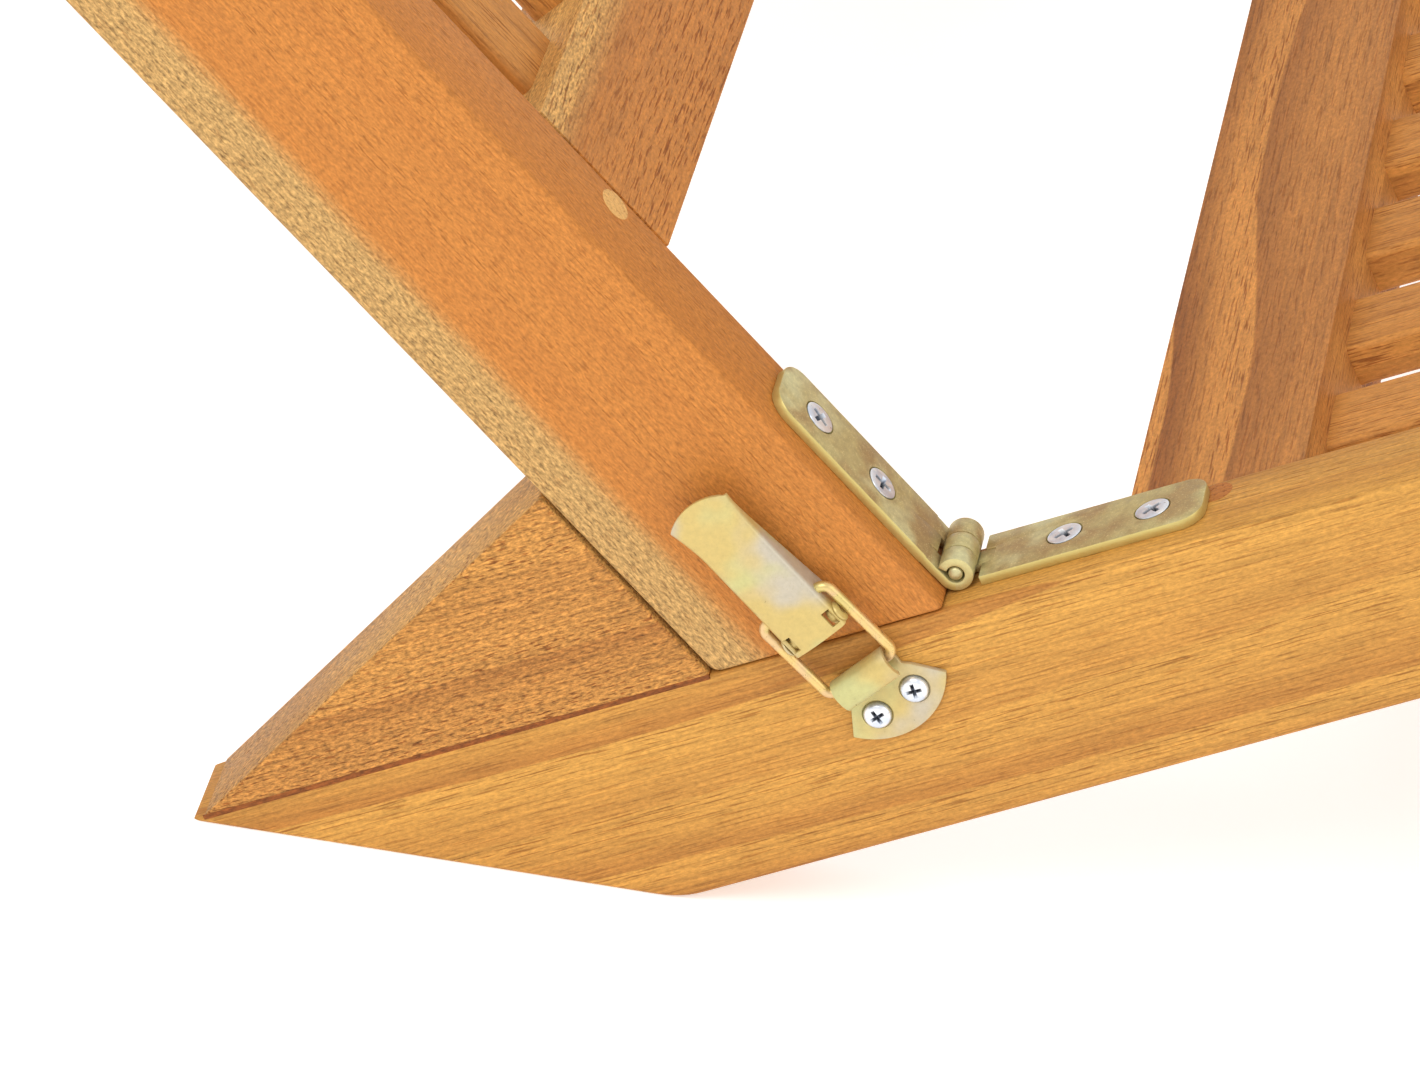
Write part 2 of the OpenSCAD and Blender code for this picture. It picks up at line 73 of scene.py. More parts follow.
# frames in millimetres: X to the sitter's left, Y along the board, Z out of its top or front face
SEAT = Matrix.Translation(corner) @ seat_turn
BACK = Matrix.Translation(corner) @ back_turn
LEGS = Matrix.Translation((0, leg_bolt.y, leg_bolt.z)) @ Matrix.Rotation(-LEG_LEAN, 4, "X")
LATCH_BEHIND = 22.5
LATCH = BACK @ Matrix.Translation((half_width, 0, -LATCH_BEHIND))
# from a board's own place to the place where its pin lies along X at the origin
HINGE_BACK = BACK @ Matrix.Translation((inner_half, PIN_ALONG, 0))
HINGE_SEAT = SEAT @ Matrix.Translation((inner_half, -PIN_ALONG, 0)) @ Matrix.Scale(-1, 4, (0, 1, 0))

SIDES = ("right", "left")
# a plate drawn flat in (x, y) stands up on edge: its x turns to Y, its y to Z and its height to X
ON_EDGE = Matrix(((0, 0, 1, 0), (1, 0, 0, 0), (0, 1, 0, 0), (0, 0, 0, 1)))


# ---------------------------------------------------------------- mesh helpers

def into(place):
    """The turn from metres in the room to millimetres in a board's own frame."""
    return place.inverted() @ Matrix.Scale(1 / MM, 4)


def shown(name, data):
    """An object in the scene for a mesh, a light or a camera."""
    thing = bpy.data.objects.new(name, data)
    bpy.context.scene.collection.objects.link(thing)
    return thing


def taken(shape, name):
    """A bmesh as a mesh; the bmesh is used up."""
    mesh = bpy.data.meshes.new(name)
    shape.to_mesh(mesh)
    shape.free()
    return mesh


def settled(*things):
    """The first object with its modifiers carried out, as a bmesh; all the objects are used up."""
    graph = bpy.context.evaluated_depsgraph_get()
    mesh = bpy.data.meshes.new_from_object(things[0].evaluated_get(graph))
    result = bmesh.new()
    result.from_mesh(mesh)
    for thing in things:
        old = thing.data
        bpy.data.objects.remove(thing)
        bpy.data.meshes.remove(old)
    bpy.data.meshes.remove(mesh)
    return result


def face_outwards(shape):
    """Points the faces of one closed shape outwards, which its volume then proves."""
    bmesh.ops.recalc_face_normals(shape, faces=shape.faces[:])
    if shape.calc_volume(signed=True) < 0:
        bmesh.ops.reverse_faces(shape, faces=shape.faces[:])


def put_in_place(shape, place, side="left"):
    """Takes a shape drawn in millimetres for the left side to its place in metres."""
    turn = Matrix.Scale(MM, 4) @ place
    if side == "right":
        turn = Matrix.Scale(-1, 4, (1, 0, 0)) @ turn
    shape.transform(turn)
    if turn.determinant() < 0:
        bmesh.ops.reverse_faces(shape, faces=shape.faces[:])


def finished(name, shape, material, body, replaces=(), sharp=32.0):
    """Turns a bmesh that is already in place into a piece that rides on its body."""
    return finished_mesh(name, taken(shape, name), material, body, replaces, sharp)


def finished_mesh(name, mesh, material, body, replaces=(), sharp=32.0):
    """Gives a mesh its finish and its body, and hides the CAD nodes it stands in for."""
    piece = shown(name, mesh)
    mesh.materials.clear()
    mesh.materials.append(material)
    for face in mesh.polygons:
        face.use_smooth = True
    mesh.set_sharp_from_angle(angle=math.radians(sharp))
    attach(piece, body)
    if replaces:
        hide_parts(*replaces)
    return piece


def plate_from(outline, thickness, at=0.0):
    """A flat plate: outline in (x, y), from height at to at + thickness."""
    shape = bmesh.new()
    low = [shape.verts.new((x, y, at)) for x, y in outline]
    high = [shape.verts.new((x, y, at + thickness)) for x, y in outline]
    shape.faces.new(list(reversed(low)))
    shape.faces.new(high)
    count = len(outline)
    for i in range(count):
        j = (i + 1) % count
        shape.faces.new((low[i], low[j], high[j], high[i]))
    face_outwards(shape)
    return shape


def stand_on_edge(plate):
    plate.transform(ON_EDGE)
    face_outwards(plate)


def ease_edges(shape, width, segments=2, keep=None, least=24.0):
    """Rounds the sharp edges of a shape; keep picks edges that stay square."""
    edges = [e for e in shape.edges
             if e.is_manifold and e.calc_face_angle(0.0) > math.radians(least)
             and not (keep and keep(e))]
    bmesh.ops.bevel(shape, geom=edges, offset=width, offset_type="OFFSET", segments=segments,
                    profile=0.5, affect="EDGES", clamp_overlap=True)
    # where two eased edges meet at a point, the corner leaves faces of no size
    bmesh.ops.dissolve_degenerate(shape, dist=0.0005, edges=shape.edges[:])


def turned(profile, sides=32):
    """A turned piece: profile is (radius, height) from the bottom of the axis to the top."""
    shape = bmesh.new()
    rings = []
    for radius, height in profile:
        if radius < 1e-6:
            rings.append([shape.verts.new((0, 0, height))])
        else:
            rings.append([shape.verts.new((radius * math.cos(a), radius * math.sin(a), height))
                          for a in (2 * math.pi * k / sides for k in range(sides))])
    for low, high in zip(rings, rings[1:]):
        for k in range(sides):
            n = (k + 1) % sides
            if len(low) == 1 and len(high) == 1:
                continue
            if len(low) == 1:
                shape.faces.new((low[0], high[k], high[n]))
            elif len(high) == 1:
                shape.faces.new((low[k], low[n], high[0]))
            else:
                shape.faces.new((low[k], low[n], high[n], high[k]))
    face_outwards(shape)
    return shape


def strip_along(path, thickness, x_from, x_to):
    """A strip of sheet bent along path, a list of (y, z), and as wide as x_from to x_to."""
    left, right = [], []
    for i, (y, z) in enumerate(path):
        before = path[max(i - 1, 0)]
        after = path[min(i + 1, len(path) - 1)]
        run = Vector((after[0] - before[0], after[1] - before[1])).normalized()
        side = Vector((-run.y, run.x)) * thickness / 2
        left.append((y + side.x, z + side.y))
        right.append((y - side.x, z - side.y))
    outline = left + right[::-1]
    shape = bmesh.new()
    near = [shape.verts.new((x_from, y, z)) for y, z in outline]
    far = [shape.verts.new((x_to, y, z)) for y, z in outline]
    count, last = len(path), 2 * len(path) - 1
    for i in range(len(outline)):
        j = (i + 1) % len(outline)
        shape.faces.new((near[i], near[j], far[j], far[i]))
    for i in range(count - 1):
        shape.faces.new((near[i], near[last - i], near[last - i - 1], near[i + 1]))
        shape.faces.new((far[i], far[i + 1], far[last - i - 1], far[last - i]))
    face_outwards(shape)
    return shape


def merged(*shapes):
    """Several shapes as one."""
    whole = shapes[0]
    for other in shapes[1:]:
        mesh = taken(other, "part")
        whole.from_mesh(mesh)
        bpy.data.meshes.remove(mesh)
    return whole


def carved(shape, *cutters):
    """The shape with the cutters taken out of it."""
    work = shown("work", taken(shape, "work"))
    tools = [shown("cutter", taken(c, "cutter")) for c in cutters]
    for tool in tools:
        cut = work.modifiers.new("cut", "BOOLEAN")
        cut.operation, cut.solver, cut.object = "DIFFERENCE", "EXACT", tool
    return settled(work, *tools)


def set_grain(shape, along, across, through, start=(0.0, 0.0, 0.0)):
    """Stores where each point lies in its board, in metres: along, across and through the grain."""
    layer = shape.verts.layers.float_vector.new("grain")
    for v in shape.verts:
        v[layer] = (Vector((v.co.dot(along), v.co.dot(across), v.co.dot(through))) * MM
                    + Vector(start))


# ---------------------------------------------------------------- node helpers

def put(tree, kind, inputs=None, **settings):
    """A node with its settings made and its inputs set or linked."""
    made = tree.nodes.new(kind)
    for key, value in settings.items():
        setattr(made, key, value)
    for key, value in (inputs or {}).items():
        socket = made.inputs[key]
        if isinstance(value, bpy.types.NodeSocket):
            tree.links.new(value, socket)
        else:
            socket.default_value = value
    return made


def sum_of(tree, kind, *values):
    """A math node's result."""
    return put(tree, "ShaderNodeMath", dict(enumerate(values)), operation=kind).outputs[0]


def vector_of(tree, kind, a, b=None, scale=None):
    """A vector math node's result."""
    inputs = {0: a}
    if b is not None:
        inputs[1] = b
    if scale is not None:
        inputs["Scale"] = scale
    made = put(tree, "ShaderNodeVectorMath", inputs, operation=kind)
    return made.outputs["Value" if kind == "LENGTH" else "Vector"]


def step_of(tree, value, low, high, start=0.0, end=1.0):
    """A soft step from start to end as value goes from low to high."""
    made = put(tree, "ShaderNodeMapRange", {0: value, 1: low, 2: high, 3: start, 4: end},
               interpolation_type="SMOOTHSTEP")
    return made.outputs[0]


def blend_of(tree, share, a, b, kind="MIX"):
    """Colour a turned towards colour b by share, or laid over it in another kind of mix."""
    made = put(tree, "ShaderNodeMix", data_type="RGBA", blend_type=kind)
    for index, value in ((0, share), (6, a), (7, b)):
        if isinstance(value, bpy.types.NodeSocket):
            tree.links.new(value, made.inputs[index])
        else:
            made.inputs[index].default_value = value
    return made.outputs[2]


def noise_of(tree, vector, scale, detail=2.0, rough=0.5, out="Fac"):
    """Smooth noise, as a value or as a colour of three values."""
    made = put(tree, "ShaderNodeTexNoise",
               {"Vector": vector, "Scale": scale, "Detail": detail, "Roughness": rough})
    return made.outputs[out]


def effect_group(name, inputs, outputs):
    """An empty shader group with named inputs and outputs, and its two end nodes."""
    group = bpy.data.node_groups.new(name, "ShaderNodeTree")
    for label, kind, value in inputs:
        made = group.interface.new_socket(label, in_out="INPUT", socket_type=kind)
        made.default_value = value
    for label, kind in outputs:
        group.interface.new_socket(label, in_out="OUTPUT", socket_type=kind)
    return group, group.nodes.new("NodeGroupInput").outputs, group.nodes.new("NodeGroupOutput").inputs


FLOAT, VECTOR, COLOR = "NodeSocketFloat", "NodeSocketVector", "NodeSocketColor"


def rgb(r, g, b):
    """A colour as a painter mixes it, 0 to 255, to the light values that shaders use."""
    def light(v):
        v /= 255.0
        return v / 12.92 if v <= 0.04045 else ((v + 0.055) / 1.055) ** 2.4
    return (light(r), light(g), light(b), 1.0)


def new_material(name):
    """A material with an empty node tree."""
    made = bpy.data.materials.new(name)
    made.use_nodes = True
    made.node_tree.nodes.clear()
    return made, made.node_tree


# ---------------------------------------------------------------- wood

def make_wood_group():
    """Teak cut from a log: growth rings about a pith, pores, fibres and a sapwood band."""
    group, given, gives = effect_group("teak_figure", [
        ("Grain", VECTOR, (0, 0, 0)),
        ("Pith", VECTOR, (0, 0.03, -0.02)),
        ("Ring width", FLOAT, 0.006),
        ("Wander", FLOAT, 0.010),
        ("Heartwood", COLOR, rgb(205, 135, 70)),
        ("Ring line", COLOR, rgb(160, 95, 45)),
        ("Sapwood", COLOR, rgb(222, 170, 108)),
        ("Sap edge", FLOAT, 1.0),
        ("Sap softness", FLOAT, 0.004),
        ("Pore depth", FLOAT, 0.35),
        ("Pore pitch", VECTOR, (200.0, 1300.0, 1300.0)),
        ("Ring depth", FLOAT, 0.5),
        ("Fibre depth", FLOAT, 0.13),
        ("Fleck depth", FLOAT, 0.12),
        ("Patch depth", FLOAT, 0.22),
        ("Painted top light", FLOAT, 0.0),
    ], [("Color", COLOR), ("Roughness", FLOAT), ("Height", FLOAT)])
    g = group
    grain = given["Grain"]
    slow = vector_of(g, "MULTIPLY", grain, (2.1, 9.0, 9.0))
    sway = vector_of(g, "SUBTRACT", noise_of(g, slow, 1.0, 1.0, 0.4, "Color"), (0.5, 0.5, 0.5))
    sway = vector_of(g, "SCALE", sway, scale=given["Wander"])
    ripple_at = vector_of(g, "MULTIPLY", grain, (14.0, 90.0, 90.0))
    ripple = vector_of(g, "SUBTRACT", noise_of(g, ripple_at, 1.0, 2.0, 0.5, "Color"), (0.5, 0.5, 0.5))
    ripple = vector_of(g, "SCALE", ripple, scale=0.0016)
    bent = vector_of(g, "ADD", vector_of(g, "ADD", grain, sway), ripple)
    from_pith = vector_of(g, "MULTIPLY", vector_of(g, "SUBTRACT", bent, given["Pith"]), (0.0, 1.0, 1.0))
    radius = vector_of(g, "LENGTH", from_pith)
    ring = sum_of(g, "DIVIDE", radius, given["Ring width"])
    ring = sum_of(g, "ADD", ring, sum_of(g, "MULTIPLY",
                  put(g, "ShaderNodeTexNoise", {"W": ring, "Scale": 0.45, "Detail": 1.0},
                      noise_dimensions="1D").outputs["Fac"], 1.6))
    phase = sum_of(g, "FRACT", ring)
    year = put(g, "ShaderNodeTexWhiteNoise", {"W": sum_of(g, "FLOOR", ring)},
               noise_dimensions="1D").outputs["Value"]
    late = sum_of(g, "MULTIPLY", step_of(g, phase, 0.25, 0.96), step_of(g, phase, 0.965, 1.0, 1.0, 0.0))
    late = sum_of(g, "MULTIPLY", late, step_of(g, year, 0.0, 1.0, 0.35, 1.0))
    # pores: short open streaks, closest where a ring begins
    streak_at = vector_of(g, "MULTIPLY", grain, given["Pore pitch"])
    pores = step_of(g, noise_of(g, streak_at, 1.0, 1.5, 0.55), 0.53, 0.68)
    pores = sum_of(g, "MULTIPLY", pores, step_of(g, phase, 0.0, 0.6, 1.0, 0.55))
    fibre_at = vector_of(g, "MULTIPLY", grain, (26.0, 950.0, 950.0))
    fibre = noise_of(g, fibre_at, 1.0, 3.0, 0.6)
    speck_at = vector_of(g, "MULTIPLY", grain, (650.0, 1500.0, 1500.0))
    speck = noise_of(g, speck_at, 1.0, 2.0, 0.7)
    patch_at = vector_of(g, "MULTIPLY", grain, (3.5, 26.0, 26.0))
    patch = noise_of(g, patch_at, 1.0, 2.0, 0.5)
    # colour
    wood = blend_of(g, sum_of(g, "MULTIPLY", late, given["Ring depth"]),
                    given["Heartwood"], given["Ring line"])
    sap = sum_of(g, "ADD", put(g, "ShaderNodeSeparateXYZ", {0: bent}).outputs[1],
                 sum_of(g, "MULTIPLY", sum_of(g, "SUBTRACT", fibre, 0.5), 0.004))
    sap_from = sum_of(g, "SUBTRACT", given["Sap edge"], given["Sap softness"])
    sap_to = sum_of(g, "ADD", given["Sap edge"], given["Sap softness"])
    sap = step_of(g, sap, sap_from, sap_to)
    pale = blend_of(g, sum_of(g, "MULTIPLY", late, sum_of(g, "MULTIPLY", given["Ring depth"], 0.45)),
                    given["Sapwood"], given["Ring line"])
    wood = blend_of(g, sap, wood, pale)
    # painted light: faces marked as lit from above are turned three quarters towards the pale sapwood colour
    wood = blend_of(g, sum_of(g, "MULTIPLY", given["Painted top light"], 0.75), wood, given["Sapwood"])
    wood = blend_of(g, sum_of(g, "MULTIPLY", step_of(g, patch, 0.35, 0.7), given["Patch depth"]),
                    wood, given["Ring line"])
    # each fine layer lightens and darkens by its own depth about an even middle
    fibre_tone = sum_of(g, "MULTIPLY_ADD", sum_of(g, "SUBTRACT", fibre, 0.5),
                        sum_of(g, "MULTIPLY", given["Fibre depth"], 4.0), 1.0)
    wood = blend_of(g, 1.0, wood, fibre_tone, "MULTIPLY")
    rough_sap = sum_of(g, "MULTIPLY_ADD", sap, 1.1, 1.0)
    speck_depth = sum_of(g, "MULTIPLY", sum_of(g, "MULTIPLY", given["Fleck depth"], 4.0), rough_sap)
    speck_tone = sum_of(g, "MULTIPLY_ADD", sum_of(g, "SUBTRACT", speck, 0.5), speck_depth, 1.0)
    wood = blend_of(g, 1.0, wood, speck_tone, "MULTIPLY")
    dark_pore = blend_of(g, 1.0, wood, rgb(158, 112, 76), "MULTIPLY")
    wood = blend_of(g, sum_of(g, "MULTIPLY", pores, given["Pore depth"]), wood, dark_pore)
    g.links.new(wood, gives["Color"])
    rough = sum_of(g, "ADD", 0.50, sum_of(g, "MULTIPLY", fibre, 0.16))
    g.links.new(sum_of(g, "ADD", rough, sum_of(g, "MULTIPLY", pores, 0.12)), gives["Roughness"])
    height = sum_of(g, "SUBTRACT", sum_of(g, "MULTIPLY", fibre, 0.35), sum_of(g, "MULTIPLY", pores, 0.8))
    g.links.new(sum_of(g, "ADD", height, sum_of(g, "MULTIPLY", speck, 0.15)), gives["Height"])
    return group


wood_group = make_wood_group()


def wood(name, heart, line, sapwood, pith=(0.0, 0.03, -0.02), ring=0.006, wander=0.010,
         sap_edge=1.0, sap_softness=0.004, pores=0.35, pore_pitch=(200.0, 1300.0, 1300.0), rings=0.5,
         fibres=0.13, flecks=0.12, patches=0.22, bump=0.00022):
    """A wood for one kind of board, with its own log, colours and sapwood."""
    made, t = new_material(name)
    grain = put(t, "ShaderNodeAttribute", attribute_name="grain").outputs["Vector"]
    figure = put(t, "ShaderNodeGroup", node_tree=wood_group)
    t.links.new(grain, figure.inputs["Grain"])
    # painted light: the mark of the faces that look upwards
    painted_top_light = put(t, "ShaderNodeAttribute", attribute_name="painted_top_light").outputs["Fac"]
    t.links.new(painted_top_light, figure.inputs["Painted top light"])
    for key, value in (("Pith", pith), ("Ring width", ring), ("Wander", wander), ("Heartwood", heart),
                       ("Ring line", line), ("Sapwood", sapwood), ("Sap edge", sap_edge),
                       ("Sap softness", sap_softness), ("Pore depth", pores), ("Pore pitch", pore_pitch),
                       ("Ring depth", rings), ("Fibre depth", fibres), ("Fleck depth", flecks),
                       ("Patch depth", patches)):
        figure.inputs[key].default_value = value
    relief = put(t, "ShaderNodeBump", {"Height": figure.outputs["Height"], "Strength": 0.6,
                                       "Distance": bump})
    shader = put(t, "ShaderNodeBsdfPrincipled", {
        "Base Color": figure.outputs["Color"], "Roughness": figure.outputs["Roughness"],
        "Normal": relief.outputs[0], "Specular IOR Level": 0.22, "Coat Weight": 0.03,
        "Coat Roughness": 0.35})
    put(t, "ShaderNodeOutputMaterial", {0: shader.outputs[0]})
    return made


stile_wood = wood("teak_stile", rgb(187, 119, 52), rgb(170, 102, 44), rgb(182, 143, 86),
                  pith=(0, 0.075, -0.05), ring=0.013, wander=0.016, sap_edge=0.0385,
                  sap_softness=0.0032, rings=0.22, pores=0.36, pore_pitch=(240.0, 1900.0, 1900.0),
                  fibres=0.09, flecks=0.30, patches=0.02)
rail_wood = wood("teak_rail", rgb(197, 144, 67), rgb(158, 98, 42), rgb(206, 168, 104),
                 pith=(0, -0.020, -0.035), ring=0.013, wander=0.042, rings=0.72, pores=0.62,
                 pore_pitch=(85.0, 2200.0, 2200.0), fibres=0.24, flecks=0.24, patches=0.3)
wedge_wood = wood("teak_wedge", rgb(199, 142, 70), rgb(142, 86, 38), rgb(196, 154, 86),
                  pith=(0, -0.030, -0.020), ring=0.017, wander=0.012, rings=0.5, pores=0.8,
                  pore_pitch=(300.0, 2000.0, 2000.0), fibres=0.3, flecks=0.62, patches=0.45)
cross_wood = wood("teak_cross_rail", rgb(192, 125, 58), rgb(132, 78, 34), rgb(198, 150, 84),
                  pith=(0, 0.012, -0.055), ring=0.009, wander=0.014, sap_edge=0.034,
                  rings=0.5, pores=0.7, pore_pitch=(150.0, 1900.0, 1900.0), fibres=0.2, flecks=0.26)
seat_cross_wood = wood("teak_seat_cross_rail", rgb(196, 133, 66), rgb(128, 74, 34), rgb(198, 150, 84),
                       pith=(0, 0.004, -0.042), ring=0.012, wander=0.070, rings=0.85, pores=0.7,
                       pore_pitch=(110.0, 1900.0, 1900.0), fibres=0.22, flecks=0.26)
slat_wood = wood("teak_slat", rgb(198, 136, 66), rgb(150, 92, 40), rgb(208, 162, 96),
                 pith=(0, 0.02, -0.03), ring=0.007, wander=0.012, rings=0.5, pores=0.7,
                 pore_pitch=(120.0, 1900.0, 1900.0), fibres=0.18, flecks=0.2)
dark_glue = wood("dark_glue_line", rgb(136, 76, 30), rgb(104, 54, 20), rgb(150, 88, 40),
                 ring=0.01, rings=0.4, pores=0.5, fibres=0.4, flecks=0.5)
dowel_dark = wood("teak_dowel", rgb(176, 110, 50), rgb(130, 76, 36), rgb(190, 140, 84),
                  pith=(0, 0.004, 0.002), ring=0.0016, wander=0.001, rings=0.5, pores=0.7)
dowel_pale = wood("beech_dowel", rgb(214, 166, 98), rgb(184, 130, 70), rgb(214, 170, 106),
                  pith=(0, 0.004, 0.002), ring=0.0016, wander=0.001, rings=0.4, pores=0.5)


# ---------------------------------------------------------------- metal

def make_plating_group():
    """Passivated zinc: soft clouds of three tints, fine drawing lines and small specks."""
    group, given, gives = effect_group("plating_bloom", [
        ("Place", VECTOR, (0, 0, 0)),
        ("Cloud size", FLOAT, 90.0),
        ("Main tint", COLOR, rgb(224, 208, 140)),
        ("Second tint", COLOR, rgb(214, 196, 200)),
        ("Third tint", COLOR, rgb(206, 214, 150)),
        ("Speck tint", COLOR, rgb(120, 104, 60)),
        ("Speck share", FLOAT, 0.3),
        ("Base roughness", FLOAT, 0.35),
        ("Mottle", FLOAT, 0.1),
        ("Edge", FLOAT, 0.0),
        ("Edge tint", COLOR, rgb(214, 196, 112)),
        ("Recess", FLOAT, 0.0),
        # painted shade: the dark blue-grey that marked recesses are turned towards
        ("Painted shade tint", COLOR, rgb(46, 52, 66)),
    ], [("Color", COLOR), ("Roughness", FLOAT), ("Height", FLOAT)])
    g = group
    cloud = noise_of(g, given["Place"], given["Cloud size"], 2.0, 0.5, "Color")
    parts = put(g, "ShaderNodeSeparateXYZ", {0: cloud}).outputs
    tint = blend_of(g, step_of(g, parts[0], 0.42, 0.62), given["Main tint"], given["Second tint"])
    tint = blend_of(g, step_of(g, parts[1], 0.48, 0.64), tint, given["Third tint"])
    fine = noise_of(g, given["Place"], 2600.0, 2.0, 0.6)
    mid = noise_of(g, given["Place"], 700.0, 3.0, 0.65)
    specks = sum_of(g, "MULTIPLY", step_of(g, fine, 0.56, 0.74), given["Speck share"])
    tint = blend_of(g, specks, tint, given["Speck tint"])
    mottle = sum_of(g, "MULTIPLY_ADD", sum_of(g, "SUBTRACT", mid, 0.5),
                    sum_of(g, "MULTIPLY", given["Mottle"], 5.0), 1.0)
    tint = blend_of(g, 1.0, tint, mottle, "MULTIPLY")
    tint = blend_of(g, sum_of(g, "MULTIPLY", given["Edge"], 0.85), tint, given["Edge tint"])
    # painted shade: where the recess mark is set, the colour is turned almost wholly to the dark tint
    tint = blend_of(g, sum_of(g, "MULTIPLY", given["Recess"], 0.94), tint, given["Painted shade tint"])
    g.links.new(tint, gives["Color"])
    g.links.new(sum_of(g, "ADD", given["Base roughness"],
                       sum_of(g, "MULTIPLY", sum_of(g, "SUBTRACT", mid, 0.4), 0.35)), gives["Roughness"])
    g.links.new(sum_of(g, "ADD", sum_of(g, "MULTIPLY", fine, 0.4), mid), gives["Height"])
    return group


plating_group = make_plating_group()


def plated(name, main, second, third, speck, clouds, specks, roughness, metal, mottle,
           edge=(0.65, 0.52, 0.16, 1.0), bump=0.00004):
    """A plated finish; its edge tint shows on cut sheet edges, and its dark tint is painted shade in screw
    recesses and under the latch lever.
    """
    made, t = new_material(name)
    place = put(t, "ShaderNodeTexCoord").outputs["Object"]
    bloom = put(t, "ShaderNodeGroup", node_tree=plating_group)
    t.links.new(place, bloom.inputs["Place"])
    for key in ("Edge", "Recess"):
        mark = put(t, "ShaderNodeAttribute", attribute_name=key.lower())
        t.links.new(mark.outputs["Fac"], bloom.inputs[key])
    for key, value in (("Edge tint", edge), ("Mottle", mottle), ("Cloud size", clouds),
                       ("Main tint", main), ("Second tint", second), ("Third tint", third),
                       ("Speck tint", speck), ("Speck share", specks), ("Base roughness", roughness)):
        bloom.inputs[key].default_value = value
    relief = put(t, "ShaderNodeBump", {"Height": bloom.outputs["Height"], "Strength": 0.5,
                                       "Distance": bump})
    shader = put(t, "ShaderNodeBsdfPrincipled", {
        "Base Color": bloom.outputs["Color"], "Roughness": bloom.outputs["Roughness"],
        "Normal": relief.outputs[0], "Metallic": metal})
    put(t, "ShaderNodeOutputMaterial", {0: shader.outputs[0]})
    return made


hinge_plating = plated("yellow_plated_hinge", rgb(192, 178, 124), rgb(174, 148, 100), rgb(202, 194, 146),
                       rgb(240, 228, 176), clouds=75.0, specks=0.5, roughness=0.42, metal=0.7, mottle=0.16,
                       edge=rgb(208, 192, 118))
latch_plating = plated("iridescent_zinc", rgb(196, 172, 104), rgb(184, 174, 154), rgb(188, 184, 124),
                       rgb(160, 142, 96), clouds=52.0, specks=0.22, roughness=0.32, metal=0.28, mottle=0.07,
                       edge=rgb(208, 196, 146))
wire_plating = plated("yellow_zinc_wire", rgb(220, 188, 120), rgb(212, 180, 132), rgb(204, 184, 116),
                      rgb(190, 156, 100), clouds=160.0, specks=0.12, roughness=0.28, metal=0.7, mottle=0.08)
screw_plating = plated("bright_zinc", rgb(222, 226, 232), rgb(206, 214, 226), rgb(232, 232, 232),
                       rgb(150, 158, 170), clouds=300.0, specks=0.15, roughness=0.30, metal=0.7, mottle=0.05)


# ---------------------------------------------------------------- boards

def side_outline(node, place, at_x):
    """The outer outline of a CAD board in its own frame, read off its flat side."""
    shape = bmesh.new()
    shape.from_mesh(frame["nodes"][node].data)
    shape.transform(into(place))
    bmesh.ops.remove_doubles(shape, verts=shape.verts[:], dist=0.002)
    flat = [f for f in shape.faces if all(abs(v.co.x - at_x) < 0.01 for v in f.verts)]
    flat_set = set(flat)
    rim = {}
    for face in flat:
        for edge in face.edges:
            if len(flat_set.intersection(edge.link_faces)) == 1:
                a, b = edge.verts
                rim.setdefault(a, []).append(b)
                rim.setdefault(b, []).append(a)
    loops, seen = [], set()
    for start in rim:
        if start in seen:
            continue
        loop, here, came = [start], start, None
        while True:
            seen.add(here)
            onward = [v for v in rim[here] if v is not came]
            came, here = here, onward[0]
            if here is start or here in seen:
                break
            loop.append(here)
        loops.append([(v.co.y, v.co.z) for v in loop])
    def area(points):
        return abs(sum(a[0] * b[1] - b[0] * a[1] for a, b in zip(points, points[1:] + points[:1]))) / 2
    outline = max(loops, key=area)
    # points in the middle of a straight run are left out
    kept = []
    for i, (y, z) in enumerate(outline):
        (y0, z0), (y1, z1) = outline[i - 1], outline[(i + 1) % len(outline)]
        if abs((y - y0) * (z1 - z) - (z - z0) * (y1 - y)) > 1e-3:
            kept.append((y, z))
    shape.free()
    return kept


def softened(outline, radius, least=10.0, most=40.0):
    """Rounds the blunt corners of an outline, those that turn by least to most degrees."""
    made = []
    for i, point in enumerate(outline):
        here = Vector(point)
        come, go = here - Vector(outline[i - 1]), Vector(outline[(i + 1) % len(outline)]) - here
        turn = come.angle(go)
        if not math.radians(least) < turn < math.radians(most):
            made.append(point)
            continue
        reach = min(radius * math.tan(turn / 2), come.length * 0.4, go.length * 0.4)
        start, end = here - come.normalized() * reach, here + go.normalized() * reach
        for k in range(7):
            t = k / 6
            spot = start * (1 - t) ** 2 + here * (2 * t * (1 - t)) + end * t ** 2
            made.append((spot.x, spot.y))
    return made


DEEPER_IN_THE_LOG = 0.011        # the left boards are sawn from another depth, in metres


